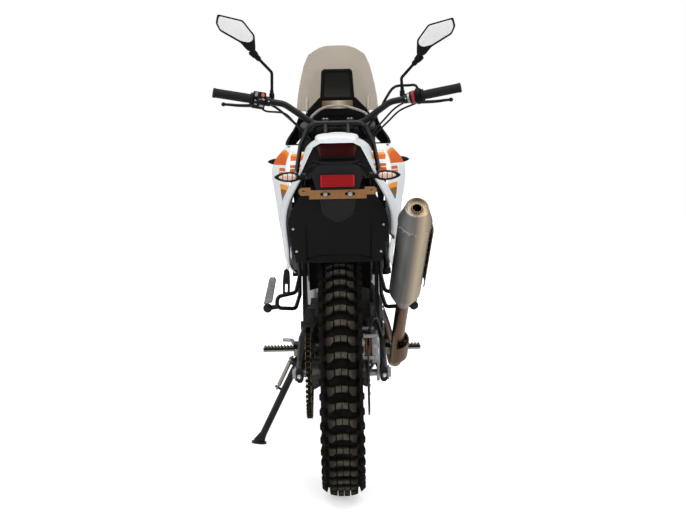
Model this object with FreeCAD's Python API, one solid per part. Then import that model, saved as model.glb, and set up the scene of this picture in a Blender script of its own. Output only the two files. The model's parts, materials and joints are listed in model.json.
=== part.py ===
"""Dual sport motorcycle, built piece by piece and parked on its side stand.

Every piece is drawn with the machine upright: X to the rider's right, Y forward from the
rear axle, Z up from the ground. The finished pieces are then leaned onto the side stand
and set down on the floor, with the origin at the middle of the machine's footprint box.
"""
import FreeCAD
import Part
import math
import os
from FreeCAD import Vector

# Stance
WHEELBASE = 1475.0
LEAN = math.radians(6.0)
RAKE = math.radians(27.5)
FORK_OFFSET = 27.0
AXLE_LEAD = 33.0

# Rear wheel and tyre
REAR_R = 345.0
REAR_ROWS = 48
REAR_TREAD_FLAT = 26.0
REAR_RIM_SEAT = 231.0
REAR_RIM_HALF = 27.0
REAR_SPOKES = 36

# Front wheel and tyre
FRONT_R = 347.0
FRONT_ROWS = 28
FRONT_TREAD_FLAT = 19.0
FRONT_RIM_SEAT = 268.0
FRONT_RIM_HALF = 20.0
FRONT_SPOKES = 36

LUG_SHARE = 0.52
RIM_DEPTH = 20.0
RIM_GAP = 0.8
SPOKE_R = 2.0
AXLE_R = 10.0
AXLE_BORE_R = 6.0
RUNNING_GAP = 0.05
SEAT_GAP = 0.3

# Drive
CHAIN_PITCH = 15.875
CHAIN_X = -92.0
CHAIN_HALF_WIDTH = 9.0
CHAIN_LOBE = 7.8
CHAIN_WAIST = 5.6
CHAIN_SLOT_HALF = 3.5
TOOTH_HALF = 3.6
REAR_TEETH = 48
DRIVE_TEETH = 14
SPROCKET_HALF = 3.0
DRIVE_Y = 640.0
DRIVE_Z = 425.0

# Brakes
REAR_DISC_R = 120.0
REAR_DISC_X = 75.0
FRONT_DISC_R = 150.0
FRONT_DISC_X = -62.0
DISC_HALF = 2.2

# Swingarm and its axle
SWING_Y = 575.0
SWING_Z = 420.0
SHOCK_BOLT_R = 6.0
PIVOT_R = 10.0
ARM_END_IN = 108.0
ARM_END_OUT = 128.0
ARM_FRONT = 103.0

# Fork, head and handlebar
HEAD_LOW = 590.0
HEAD_HIGH = 775.0
HEAD_R = 31.0
STEM_R = 20.0
FORK_SPACING = 100.0
FORK_TUBE_R = 28.0
STANCHION_R = 23.5
LUG_R = 27.0
FORK_TOP = 815.0
FORK_SPLIT = 330.0
CLAMP_DEPTH = 32.0
BAR_R = 11.0
BAR_CLAMP_Z = 1056.0
BAR_CLAMP_Y = WHEELBASE - 429.0
BAR_BEND_X = 180.0
BAR_BEND_Y = WHEELBASE - 439.0
BAR_BEND_Z = 1126.0
BAR_END_X = 412.0
BAR_END_Y = WHEELBASE - 488.0
BAR_END_Z = 1167.0
GRIP_LENGTH = 124.0
GRIP_R = 16.0

# Frame tubes
SPAR_R = 17.0
PLATE_IN = 108.0
PLATE_OUT = 120.0
CRADLE_R = 14.0
RAIL_R = 11.0
RACK_R = 6.5

# Side stand
STAND_PIVOT = Vector(-142.0, 596.0, 300.0)
STAND_FOOT_X = -276.0
STAND_FOOT_Y = 700.0
STAND_LEG_R = 11.0
PIPE_R = 19.0
SILENCER_R = 45.5
SILENCER_LENGTH = 526.0
STAND_FOLDED = Vector(-0.20, -0.975, 0.10)

# Body panels
WALL = 4.0
ARCH_CLEARANCE = 31.0
ARCH_R = REAR_R + ARCH_CLEARANCE
ARCH_HALF = 92.0

HANGER_X = 145.1
PANEL_POST_X = 147.8
PANEL_POST_Y = 420.0
PANEL_POST_Z = 752.0

SPRING_WIRE_R = 5.0
STAY_ALONG = 680.0
LAMP_HALF = 96.0

# Nose, placed from the front axle
LAMP_Y = WHEELBASE - 213.0
SCREEN_Y = WHEELBASE - 157.0
DISPLAY_Y = WHEELBASE - 259.0
CHEEK_WALL_Y = WHEELBASE - 239.0
MIRROR_Y = WHEELBASE - 481.0
MIRROR_DEPTH = 22.0

# Number plate bolts
PLATE_HOLE_X = 33.0
PLATE_HOLE_R = 3.2
PLATE_HOLE_Z = 857.0


# Basic shapes

def rod(start, end, radius):
    """Round bar from start to end."""
    along = end - start
    return Part.makeCylinder(radius, along.Length, start, along)


def cross_rod(y, z, x_from, x_to, radius):
    """Round bar across the machine."""
    return rod(Vector(x_from, y, z), Vector(x_to, y, z), radius)


def ring(start, end, outer, inner):
    """Round bar with a bore right through."""
    return rod(start, end, outer).cut(rod(start, end, inner))


def side_plate(outline, x_from, x_to):
    """Flat plate from an outline in the side view, given as (y, z) pairs."""
    points = [Vector(x_from, y, z) for y, z in outline]
    face = Part.Face(Part.makePolygon(points + points[:1]))
    return face.extrude(Vector(x_to - x_from, 0, 0))


def rear_plate(outline, y_from, y_to):
    """Flat plate from an outline in the rear view, given as (x, z) pairs."""
    points = [Vector(x, y_from, z) for x, z in outline]
    face = Part.Face(Part.makePolygon(points + points[:1]))
    return face.extrude(Vector(0, y_to - y_from, 0))


def block(x_from, x_to, y_from, y_to, z_from, z_to):
    """Box between two corners."""
    return Part.makeBox(x_to - x_from, y_to - y_from, z_to - z_from,
                        Vector(x_from, y_from, z_from))


def both_sides(shape):
    """A piece and its mirror image across the machine, as separate solids."""
    return Part.makeCompound([shape, flipped(shape)])


def flipped(shape):
    """The mirror image across the machine's middle plane."""
    return shape.mirror(Vector(0, 0, 0), Vector(1, 0, 0))


def fused(shapes):
    """One solid from pieces that overlap."""
    return welded(shapes).removeSplitter()


def welded(shapes):
    """One solid from pieces that overlap, with their seams kept as edges."""
    solid = shapes[0]
    for shape in shapes[1:]:
        solid = solid.fuse(shape)
    return solid


def bent_path(points, bend):
    """Straight runs joined by tangent arcs of the given radius, or less in a short run."""
    edges = []
    start = points[0]
    for before, corner, after in zip(points, points[1:], points[2:]):
        back = before - corner
        ahead = after - corner
        half_turn = (math.pi - back.getAngle(ahead)) / 2
        reach = min(bend * math.tan(half_turn), 0.45 * min(back.Length, ahead.Length))
        radius = reach / math.tan(half_turn)
        back.normalize()
        ahead.normalize()
        inward = back + ahead
        inward.normalize()
        first = corner + back * reach
        last = corner + ahead * reach
        middle = corner + inward * (radius / math.cos(half_turn) - radius)
        edges.append(Part.LineSegment(start, first).toShape())
        edges.append(Part.Arc(first, middle, last).toShape())
        start = last
    edges.append(Part.LineSegment(start, points[-1]).toShape())
    return Part.Wire(edges)


def tube(points, radius, bend, bore=0.0):
    """Round tube swept along a bent path, hollow where a bore is given."""
    path = bent_path(points, bend)
    heading = points[1] - points[0]
    solid = swept_disc(path, points[0], heading, radius)
    if bore:
        solid = solid.cut(swept_disc(path, points[0], heading, bore))
    return solid


def swept_disc(path, start, heading, radius):
    """Solid swept by a disc along a path."""
    disc = Part.Wire(Part.makeCircle(radius, start, heading))
    return path.makePipeShell([disc], True, False)


def smooth_ring(points):
    """Closed smooth wire through the points."""
    curve = Part.BSplineCurve()
    curve.interpolate(points, True)
    return Part.Wire(curve.toShape())


def rounded_section(y, z, half_width, half_height, squareness, x=0.0, count=24):
    """Closed section across the machine: a superellipse of the given squareness."""
    points = []
    for i in range(count):
        turn = 2 * math.pi * i / count
        c = math.cos(turn)
        s = math.sin(turn)
        reach = (abs(c) ** squareness + abs(s) ** squareness) ** (-1 / squareness)
        points.append(Vector(x + half_width * reach * c, y, z + half_height * reach * s))
    return smooth_ring(points)


def lofted(sections):
    """Smooth solid through closed sections."""
    return Part.makeLoft(sections, True, False)


def boxy_loft(sections):
    """Solid with straight edges from section to section."""
    return Part.makeLoft(sections, True, True)


def chamfered(y, x0, x1, z0, z1, cut):
    """Rectangular section across the machine with its corners cut off."""
    outline = [(x0 + cut, z0), (x1 - cut, z0), (x1, z0 + cut), (x1, z1 - cut),
               (x1 - cut, z1), (x0 + cut, z1), (x0, z1 - cut), (x0, z0 + cut)]
    points = [Vector(x, y, z) for x, z in outline]
    return Part.makePolygon(points + points[:1])


def skin(rows, wall):
    """Curved panel of the given wall, its outer face through rows of points."""
    inner_rows = []
    for i, row in enumerate(rows):
        inner = []
        for j, point in enumerate(row):
            down = rows[min(i + 1, len(rows) - 1)][j] - rows[max(i - 1, 0)][j]
            along = row[min(j + 1, len(row) - 1)] - row[max(j - 1, 0)]
            normal = down.cross(along)
            normal.normalize()
            inner.append(point - normal * wall)
        inner_rows.append(inner)
    outer = Part.BSplineSurface()
    outer.interpolate(rows)
    inside = Part.BSplineSurface()
    inside.interpolate(inner_rows)
    faces = [outer.toShape(), inside.toShape()]
    u0, u1, v0, v1 = outer.bounds()
    a0, a1, b0, b1 = inside.bounds()
    borders = [(outer.uIso(u0), inside.uIso(a0)), (outer.uIso(u1), inside.uIso(a1)),
               (outer.vIso(v0), inside.vIso(b0)), (outer.vIso(v1), inside.vIso(b1))]
    for one, other in borders:
        faces.append(Part.makeRuledSurface(one.toShape(), other.toShape()))
    shell = Part.makeShell(faces)
    shell.sewShape()
    solid = Part.makeSolid(shell)
    if solid.Volume < 0:
        solid.reverse()
    return solid


def steer_point(along, forward=0.0, x=0.0):
    """Point beside the steering axis: so far up it, so far ahead of it."""
    offset = FORK_OFFSET + AXLE_LEAD
    foot_y = WHEELBASE - offset * math.cos(RAKE)
    foot_z = front_axle_z() - offset * math.sin(RAKE)
    y = foot_y - along * math.sin(RAKE) + forward * math.cos(RAKE)
    z = foot_z + along * math.cos(RAKE) + forward * math.sin(RAKE)
    return Vector(x, y, z)


def front_axle_z():
    """Height at which the leaned front tyre touches the same floor as the rear one."""
    return FRONT_R - (REAR_TREAD_FLAT - FRONT_TREAD_FLAT) * math.tan(LEAN)


def ground_z(x):
    """Height of the floor at the side of the upright drawing, under the lean."""
    return -(x + REAR_TREAD_FLAT) * math.tan(LEAN)


# Wheels

def tyre(axle, rows, flat, tread_r, carcass):
    """Knobbly tyre as flat facets: paddles along the crown, knobs on both shoulders.

    carcass lists (x, r) from the crown groove's inner edge out to the bead, on one side.
    """
    crown_r, groove, shoulder_in, shoulder_out, belly, bead = carcass
    pitch = 2 * math.pi / rows
    tread_r = tread_r / math.cos(pitch * LUG_SHARE / 2)
    toe_r = bead[1] / math.cos(pitch / 2)

    def at(x, r, angle):
        return Vector(x, axle.y + r * math.sin(angle), axle.z + r * math.cos(angle))

    def face(points):
        return Part.Face(Part.makePolygon(points + points[:1]))

    def lug(base, top, start, end):
        """Walls and top of a knob on a cell of the carcass."""
        b = [at(*base[0], start), at(*base[0], end), at(*base[1], end), at(*base[1], start)]
        t = [at(*top[0], start), at(*top[0], end), at(*top[1], end), at(*top[1], start)]
        walls = [face([b[i], b[(i + 1) % 4], t[(i + 1) % 4], t[i]]) for i in range(4)]
        return walls + [face(t)]

    faces = []
    knob_dir = Vector(shoulder_out[1] - shoulder_in[1], 0, shoulder_in[0] - shoulder_out[0])
    knob_dir.normalize()
    knob = (-knob_dir.x * (tread_r - crown_r) * 0.85, -knob_dir.z * (tread_r - crown_r) * 0.85)
    for row in range(rows):
        start = (row - LUG_SHARE / 2) * pitch
        end = start + pitch * LUG_SHARE
        after = start + pitch
        crown = [(-groove[0], groove[1]), (groove[0], groove[1])]
        paddle = [(-flat, tread_r), (flat, tread_r)]
        faces += lug(crown, paddle, start, end)
        faces.append(cell(crown, end, after, at, face))
        for side in (1, -1):
            inner = (side * shoulder_in[0], shoulder_in[1])
            outer = (side * shoulder_out[0], shoulder_out[1])
            top_in = (inner[0] + side * (knob[0] - 2), inner[1] + knob[1])
            top_out = (outer[0] + side * (knob[0] - 1), outer[1] + knob[1])
            middle = (side * groove[0], groove[1])
            for a, b in ((start, end), (end, after)):
                faces.append(cell([middle, inner], a, b, at, face))
            faces.append(cell([inner, outer], start, end, at, face))
            faces += lug([inner, outer], [top_in, top_out], end, after)
            belly_p = (side * belly[0], belly[1])
            toe = (side * bead[0], toe_r)
            faces.append(face([at(*outer, start), at(*outer, end), at(*belly_p, start)]))
            faces.append(face([at(*outer, end), at(*outer, after), at(*belly_p, after)]))
            faces.append(face([at(*outer, end), at(*belly_p, after), at(*belly_p, start)]))
            heel = (side * (bead[0] - 1), toe_r + 12)
            faces.append(cell([heel, toe], start, after, at, face))
            faces.append(cell([belly_p, heel], start, after, at, face))
        faces.append(cell([(-bead[0], toe_r), (bead[0], toe_r)], start, after, at, face))
    shell = Part.makeShell(faces)
    shell.sewShape()
    solid = Part.makeSolid(shell)
    if solid.Volume < 0:
        solid.reverse()
    return solid


def cell(edge, start, end, at, face):
    """Flat four-sided facet of a tyre between two angles."""
    return face([at(*edge[0], start), at(*edge[0], end), at(*edge[1], end), at(*edge[1], start)])


def rear_tyre():
    crown = [329.0, (29.0, 329.0), (43.0, 319.0), (54.0, 306.0), (57.0, 280.0),
             (REAR_RIM_HALF, REAR_RIM_SEAT + RIM_GAP)]
    return tyre(rear_axle_centre(), REAR_ROWS, REAR_TREAD_FLAT, REAR_R, crown)


def front_tyre():
    crown = [334.0, (21.0, 334.0), (31.0, 326.0), (39.0, 316.0), (42.0, 298.0),
             (FRONT_RIM_HALF, FRONT_RIM_SEAT + RIM_GAP)]
    return tyre(front_axle_centre(), FRONT_ROWS, FRONT_TREAD_FLAT, FRONT_R, crown)


def rear_axle_centre():
    return Vector(0, 0, REAR_R)


def front_axle_centre():
    return Vector(0, WHEELBASE, front_axle_z())


def turned(axle, profile):
    """Solid turned about an axle from an (x, r) profile."""
    points = [Vector(x, axle.y, axle.z + r) for x, r in profile]
    face = Part.Face(Part.makePolygon(points + points[:1]))
    return face.revolve(axle, Vector(1, 0, 0), 360)


def rim(axle, seat_r, half):
    """Spoked wheel rim: bead seats, flanges and a hollow well."""
    wall = 4.0
    flange = 10.0
    well_r = seat_r - RIM_DEPTH + 2
    well_half = half * 0.55
    profile = [(-half, seat_r), (-half - 0.3, seat_r + flange), (-half - wall, seat_r + flange),
               (-half - wall, seat_r - 3), (-well_half - 3, well_r - 2), (well_half + 3, well_r - 2),
               (half + wall, seat_r - 3), (half + wall, seat_r + flange),
               (half + 0.3, seat_r + flange), (half, seat_r),
               (well_half + 2, seat_r - 2), (well_half, well_r + 4), (-well_half, well_r + 4),
               (-well_half - 2, seat_r - 2)]
    return turned(axle, profile)


def rear_rim():
    return rim(rear_axle_centre(), REAR_RIM_SEAT, REAR_RIM_HALF)


def front_rim():
    return rim(front_axle_centre(), FRONT_RIM_SEAT, FRONT_RIM_HALF)


def lacing(axle, count, flange_x, flange_r, rim_r, rim_x):
    """Wire spokes: each leaves a hub flange almost square to the radius, crosses three
    others and meets the rim near its middle. Odd ones lean back, even ones forward."""
    spokes = []
    per_side = count // 2
    for side in (1, -1):
        for i in range(per_side):
            back = i % 2 == 1
            hub_angle = 2 * math.pi * (i + (0.25 if side > 0 else 0.75)) / per_side
            swing = math.radians(62) * (-1 if back else 1)
            rim_angle = hub_angle + swing
            x_hub = side * (flange_x + (3.4 if back else -3.4))
            start = Vector(x_hub, axle.y + flange_r * math.sin(hub_angle),
                           axle.z + flange_r * math.cos(hub_angle))
            end = Vector(side * rim_x, axle.y + rim_r * math.sin(rim_angle),
                         axle.z + rim_r * math.cos(rim_angle))
            spokes.append(rod(start, end, SPOKE_R))
    return spokes


def hub(axle, flange_x, flange_r, barrel_r, left_x, left_r, right_x, right_r):
    """Hub shell with two spoke flanges and the seats for sprocket or disc."""
    half = 3.0
    bore = AXLE_R + RUNNING_GAP
    profile = [(left_x, bore), (left_x, left_r), (left_x + 6, left_r),
               (-flange_x - half - 8, barrel_r), (-flange_x - half, flange_r),
               (-flange_x + half, flange_r), (-flange_x + half + 8, barrel_r),
               (flange_x - half - 8, barrel_r), (flange_x - half, flange_r),
               (flange_x + half, flange_r), (flange_x + half + 8, barrel_r),
               (right_x - 6, right_r), (right_x, right_r), (right_x, bore)]
    return turned(axle, profile)


def rear_hub():
    """Rear hub with its wire spokes."""
    shell = hub(rear_axle_centre(), 30.0, 42.0, 26.0, CHAIN_X + SPROCKET_HALF + SEAT_GAP, 48.0,
               REAR_DISC_X - DISC_HALF - SEAT_GAP, 40.0)
    return laced(shell, rear_spokes())


def front_hub():
    """Front hub with its wire spokes."""
    shell = hub(front_axle_centre(), 27.0, 34.0, 19.0, FRONT_DISC_X + DISC_HALF + SEAT_GAP, 34.0,
               52.0, 22.0)
    return laced(shell, front_spokes())


def laced(shell, spokes):
    """Hub and spokes as one solid."""
    return fused([shell] + spokes)


def rear_spokes():
    return lacing(rear_axle_centre(), REAR_SPOKES, 30.0, 40.0, REAR_RIM_SEAT - RIM_DEPTH - 1.4, 7.0)


def front_spokes():
    return lacing(front_axle_centre(), FRONT_SPOKES, 27.0, 32.0, FRONT_RIM_SEAT - RIM_DEPTH - 1.4, 5.0)


def brake_disc(axle, x, outer, inner, centre_r, arms):
    """Drilled disc with its carrier arms and centre ring."""
    low = Vector(x - DISC_HALF, axle.y, axle.z)
    high = Vector(x + DISC_HALF, axle.y, axle.z)
    solid = ring(low, high, outer, inner)
    spokes = [ring(low, high, centre_r, AXLE_R + 8)]
    for i in range(arms):
        angle = 2 * math.pi * i / arms
        arm = block(x - DISC_HALF, x + DISC_HALF, -7, 7, centre_r - 4, inner + 4)
        arm.rotate(Vector(0, 0, 0), Vector(1, 0, 0), math.degrees(angle))
        arm.translate(Vector(0, axle.y, axle.z))
        spokes.append(arm)
    solid = fused([solid] + spokes)
    drills = []
    for i in range(arms * 4):
        angle = 2 * math.pi * (i + 0.5) / (arms * 4)
        r = inner + (outer - inner) * (0.3 if i % 2 else 0.68)
        centre = Vector(0, axle.y + r * math.sin(angle), axle.z + r * math.cos(angle))
        drills.append(cross_rod(centre.y, centre.z, x - 5, x + 5, 3.5))
    return solid.cut(Part.makeCompound(drills))


def rear_disc():
    return brake_disc(rear_axle_centre(), REAR_DISC_X, REAR_DISC_R, 92.0, 42.0, 6)


def front_disc():
    return brake_disc(front_axle_centre(), FRONT_DISC_X, FRONT_DISC_R, 118.0, 38.0, 8)


def pitch_radius(teeth):
    return CHAIN_PITCH / (2 * math.sin(math.pi / teeth))


def toothed_plate(centre, teeth, half, x):
    """Sprocket blank with its teeth."""
    r = pitch_radius(teeth)
    points = []
    for i in range(teeth):
        for share, height in ((-0.3, -TOOTH_HALF), (-0.12, TOOTH_HALF), (0.12, TOOTH_HALF),
                              (0.3, -TOOTH_HALF)):
            angle = 2 * math.pi * (i + share) / teeth
            points.append(Vector(x - half, centre.y + (r + height) * math.sin(angle),
                                 centre.z + (r + height) * math.cos(angle)))
    face = Part.Face(Part.makePolygon(points + points[:1]))
    return face.extrude(Vector(2 * half, 0, 0))


def rear_sprocket():
    centre = rear_axle_centre()
    solid = toothed_plate(centre, REAR_TEETH, SPROCKET_HALF, CHAIN_X)
    cuts = [cross_rod(centre.y, centre.z, CHAIN_X - 9, CHAIN_X + 9, AXLE_R + 9)]
    for i in range(6):
        angle = 2 * math.pi * i / 6
        r = 82.0
        cuts.append(cross_rod(centre.y + r * math.sin(angle), centre.z + r * math.cos(angle),
                              CHAIN_X - 9, CHAIN_X + 9, 22.0))
    return solid.cut(Part.makeCompound(cuts))


# Drive line

def chain():
    """Closed chain loop round both sprockets: the plates' waists show in its edges, and a
    slot runs along its inner side where the sprocket teeth stand between the plates."""
    outer = loop_points(CHAIN_LOBE, CHAIN_WAIST)
    inner = loop_points(-CHAIN_LOBE, -CHAIN_WAIST)
    left = CHAIN_X - CHAIN_HALF_WIDTH
    right = CHAIN_X + CHAIN_HALF_WIDTH
    band = side_plate(outer, left, right).cut(side_plate(inner, left - 1, right + 1))
    slot = [wheel_disc(0.0, REAR_R, REAR_TEETH), wheel_disc(DRIVE_Y, DRIVE_Z, DRIVE_TEETH)]
    return band.cut(Part.makeCompound(slot))


def wheel_disc(y, z, teeth):
    """Many-sided room that a sprocket's teeth need between the chain's plates."""
    sides = max(teeth, 24)
    r = (pitch_radius(teeth) + TOOTH_HALF + 0.8) / math.cos(math.pi / sides)
    outline = [(y + r * math.cos(2 * math.pi * i / sides), z + r * math.sin(2 * math.pi * i / sides))
               for i in range(sides)]
    return side_plate(outline, CHAIN_X - CHAIN_SLOT_HALF, CHAIN_X + CHAIN_SLOT_HALF)


def loop_points(lobe, waist):
    """Outline of the chain run as (y, z) pairs, alternately wide and waisted."""
    r_back = pitch_radius(REAR_TEETH)
    r_front = pitch_radius(DRIVE_TEETH)
    dz = DRIVE_Z - REAR_R
    span = math.hypot(DRIVE_Y, dz)
    slope = math.atan2(dz, DRIVE_Y)
    spread = math.asin((r_back - r_front) / span)
    straight = span * math.cos(spread)
    top_normal = slope + math.pi / 2 - spread
    low_normal = slope - math.pi / 2 + spread
    front_arc = r_front * (top_normal - low_normal)
    back_arc = r_back * (2 * math.pi - (top_normal - low_normal))
    total = 2 * straight + front_arc + back_arc
    pairs = round(total / CHAIN_PITCH / 2)
    points = []
    for i in range(2 * pairs):
        out = waist if i % 2 else lobe
        points.append(loop_point(i / (2 * pairs) * total, out, (straight, front_arc),
                                 (r_back, r_front), (top_normal, low_normal)))
    return points


def loop_point(distance, out, lengths, radii, normals):
    """Point so far along the pitch line of the chain and so far outside it."""
    straight, front = lengths
    r_back, r_front = radii
    top_normal, low_normal = normals
    if distance < straight:
        n = top_normal
        y = r_back * math.cos(n) + distance * math.sin(n)
        z = REAR_R + r_back * math.sin(n) - distance * math.cos(n)
    elif distance < straight + front:
        n = top_normal - (distance - straight) / r_front
        y = DRIVE_Y + r_front * math.cos(n)
        z = DRIVE_Z + r_front * math.sin(n)
    elif distance < 2 * straight + front:
        n = low_normal
        run = distance - straight - front
        y = DRIVE_Y + r_front * math.cos(n) + run * math.sin(n)
        z = DRIVE_Z + r_front * math.sin(n) - run * math.cos(n)
    else:
        n = low_normal - (distance - 2 * straight - front) / r_back
        y = r_back * math.cos(n)
        z = REAR_R + r_back * math.sin(n)
    return (y + out * math.cos(n), z + out * math.sin(n))


def drive_sprocket():
    centre = Vector(0, DRIVE_Y, DRIVE_Z)
    plate = toothed_plate(centre, DRIVE_TEETH, SPROCKET_HALF, CHAIN_X)
    boss = cross_rod(DRIVE_Y, DRIVE_Z, CHAIN_X - 7, CHAIN_X + 11.7, 15)
    return fused([plate, boss])


def chain_guard():
    """Guard over the top of the rear sprocket, bolted to the left arm."""
    r_out = pitch_radius(REAR_TEETH) + 24
    r_in = r_out - 4
    centre_z = REAR_R
    low = Vector(CHAIN_X - 14, 0, centre_z)
    high = Vector(CHAIN_X + 14, 0, centre_z)
    hoop = ring(low, high, r_out, r_in)
    skirt = ring(low, low + Vector(3, 0, 0), r_out, r_out - 26)
    wedge = side_plate([(0, centre_z + 60), (-70, centre_z + 190), (2, centre_z + 190)],
                       CHAIN_X - 20, CHAIN_X + 20)
    cover = fused([hoop, skirt]).common(wedge)
    run = side_plate([(0, centre_z + r_in), (0, centre_z + r_out), (330, centre_z + r_out + 4),
                      (330, centre_z + r_in + 4)], CHAIN_X - 14, CHAIN_X + 14)
    stay = side_plate([(215, 417.6), (240, 424.6), (245, 425.2), (245, 488), (215, 488)],
                      CHAIN_X - 17.5, CHAIN_X - 14)
    return fused([cover, run, stay])


# Rear suspension

def arm_section(y, x_in, x_out, z_low, z_high):
    """Box section of a swingarm beam with chamfered corners, on the left side."""
    return chamfered(y, -x_out, -x_in, z_low, z_high, 6)


def swingarm():
    """Two tapered beams, their bridge ahead of the tyre and the pivot tube."""
    beam = boxy_loft([arm_section(-40, ARM_END_IN, ARM_END_OUT, 324, 366),
                      arm_section(60, ARM_END_IN, ARM_END_OUT + 1, 322, 374),
                      arm_section(240, 92, 127, 346, 424),
                      arm_section(420, 78, 116, 376, 446),
                      arm_section(530, 72, ARM_FRONT, 394, 446),
                      arm_section(SWING_Y + 8, 72, ARM_FRONT, 397, 443)])
    bridge = boxy_loft([chamfered(y, -86, 86, z - h, z + h, 9)
                        for y, z, h in ((ARCH_R, 404, 18), (ARCH_R + 34, 408, 24),
                                        (ARCH_R + 74, 412, 20))])
    pivot = cross_rod(SWING_Y, SWING_Z, -ARM_FRONT - 1, ARM_FRONT + 1, 23)
    lugs = shock_clevis(Vector(0, 480, 395), [(440, 394), (482, 380), (496, 392), (490, 408),
                                              (442, 426)])
    solid = fused([beam, flipped(beam), bridge, pivot] + lugs)
    slot = block(-200, 200, -16, 16, REAR_R - AXLE_R, REAR_R + AXLE_R)
    solid = solid.cut(slot)
    return solid.cut(cross_rod(SWING_Y, SWING_Z, -200, 200, PIVOT_R + RUNNING_GAP))


def rear_axle():
    """Hollow spindle with its nut, head and the chain adjuster blocks."""
    y, z = 0.0, REAR_R
    out = ARM_END_OUT + 2
    spindle = cross_rod(y, z, -out, out, AXLE_R - 0.02)
    solids = [spindle]
    for side in (1, -1):
        block_in = side * (ARM_END_OUT + 1.0)
        cap = cross_rod(y, z, block_in, side * (out + 3), 20)
        nut = hexagon(side * (out + 3), side * (out + 9), y, z, 15)
        solids += [cap, nut]
    solid = fused(solids)
    return solid.cut(cross_rod(y, z, -200, 200, AXLE_BORE_R))


def hexagon(x_from, x_to, y, z, radius):
    """Hexagonal nut across the machine."""
    outline = [(y + radius * math.cos(math.pi * i / 3), z + radius * math.sin(math.pi * i / 3))
               for i in range(6)]
    return side_plate(outline, x_from, x_to)


def damper():
    """Rear damper with its spring seats and eyes."""
    low = Vector(0, 480, 395)
    high = Vector(0, 560, 700)
    along = high - low
    along.normalize()
    body = rod(low + along * 120, high - along * 21, 24)
    neck = rod(high - along * 30, high, 12)
    shaft = rod(low, low + along * 140, 9)
    eye = cross_rod(low.y, low.z, -16, 16, 15)
    seat_low = rod(low + along * 42, low + along * 50, 34)
    seat_high = rod(high - along * 48, high - along * 38, 34)
    eye_high = cross_rod(high.y, high.z, -16, 16, 15)
    solid = fused([body, neck, shaft, eye, seat_low, seat_high, eye_high])
    for end in (low, high):
        solid = solid.cut(cross_rod(end.y, end.z, -20, 20, SHOCK_BOLT_R + RUNNING_GAP))
    return solid


def shock_clevis(end, toward):
    """Two lugs and a bolt that hold an eye of the damper."""
    lugs = []
    for side in (1, -1):
        lugs.append(side_plate(toward, side * 16.4, side * 23))
    return lugs + [cross_rod(end.y, end.z, -23, 23, SHOCK_BOLT_R)]


def shock():
    """Damper between the frame and the swingarm's bridge, with its coil spring."""
    return Part.makeCompound([damper(), shock_spring()])


def shock_spring():
    """Coil spring round the damper."""
    low = Vector(0, 480, 395)
    high = Vector(0, 560, 700)
    along = high - low
    length = along.Length
    along.normalize()
    start = low + along * (50.3 + SPRING_WIRE_R)
    end = low + along * (length - 48.3 - SPRING_WIRE_R)
    return coil(start, end, 30.0, SPRING_WIRE_R, 7)


def coil(start, end, radius, wire, turns, steps=14, sides=6):
    """Coil spring of flat-sided wire wound about the line from start to end."""
    along = end - start
    rise = along.Length
    along.normalize()
    side = along.cross(Vector(1, 0, 0))
    side.normalize()
    front = along.cross(side)
    rings = []
    for i in range(turns * steps + 1):
        angle = 2 * math.pi * i / steps
        out = side * math.cos(angle) + front * math.sin(angle)
        centre = start + along * (rise * i / (turns * steps)) + out * radius
        rings.append([centre + out * (wire * math.cos(2 * math.pi * k / sides))
                      + along * (wire * math.sin(2 * math.pi * k / sides))
                      for k in range(sides)])
    return faceted(rings)


def faceted(rings):
    """Solid of flat triangles between rings of points, closed at both ends."""
    count = len(rings[0])
    faces = []
    for a, b in zip(rings, rings[1:]):
        for k in range(count):
            n = (k + 1) % count
            faces.append(flat([a[k], b[k], b[n]]))
            faces.append(flat([a[k], b[n], a[n]]))
    faces.append(flat(rings[0]))
    faces.append(flat(rings[-1]))
    shell = Part.makeShell(faces)
    shell.sewShape()
    solid = Part.makeSolid(shell)
    if solid.Volume < 0:
        solid.reverse()
    return solid


def flat(points):
    """Flat face with the points as its corners."""
    return Part.Face(Part.makePolygon(points + points[:1]))


# Frame

def spar_points():
    """Run of the left spar from the head down to the pivot plate."""
    return [Vector(-20, 1092, 905), Vector(-92, 985, 868), Vector(-112, 760, 760),
            Vector(-104, 612, 590)]


def frame():
    """Welded steel frame: head, twin spars, down tube, cradle, pivot plates, cross tubes."""
    spar = tube(spar_points(), SPAR_R, 120)
    down = tube([steer_point(HEAD_LOW + 60, -28), Vector(0, 1080, 600), Vector(0, 1064, 520)],
                SPAR_R, 140)
    cradle = cradle_tube(CRADLE_R)
    plate_left = side_plate([(560, 300), (612, 300), (632, 380), (636, 560), (628, 628),
                             (590, 628), (548, 500), (540, 400)], -PLATE_OUT, -PLATE_IN)
    boss = cross_rod(SWING_Y, SWING_Z, -PLATE_OUT, -ARM_FRONT - 1 - SEAT_GAP, 26)
    gusset = side_plate([(1120, 862), (1098, 930), (1040, 900), (1080, 800)], -7, 7)
    left = [spar, cradle, plate_left, boss]
    right = [flipped(s) for s in left]
    cross_top = cross_rod(700, 728, -108, 108, 12)
    cross_back = cross_rod(606, 620, -112, 112, 13)
    cross_low = cross_rod(592, 322, -112, 112, 12)
    lugs = shock_clevis(Vector(0, 560, 700), [(546, 692), (552, 712), (694, 736), (700, 718),
                                              (574, 688)])
    solid = welded([head_tube_blank(), down, gusset] + left + right
                   + [cross_top, cross_back, cross_low] + lugs)
    bore = rod(steer_point(HEAD_LOW - 60), steer_point(HEAD_HIGH + 60), STEM_R + RUNNING_GAP)
    solid = solid.cut(bore)
    return welded([solid, pivot_bolt(), stand_bracket()])


def head_tube_blank():
    return rod(steer_point(HEAD_LOW + 18), steer_point(HEAD_HIGH - 4), HEAD_R)


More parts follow.
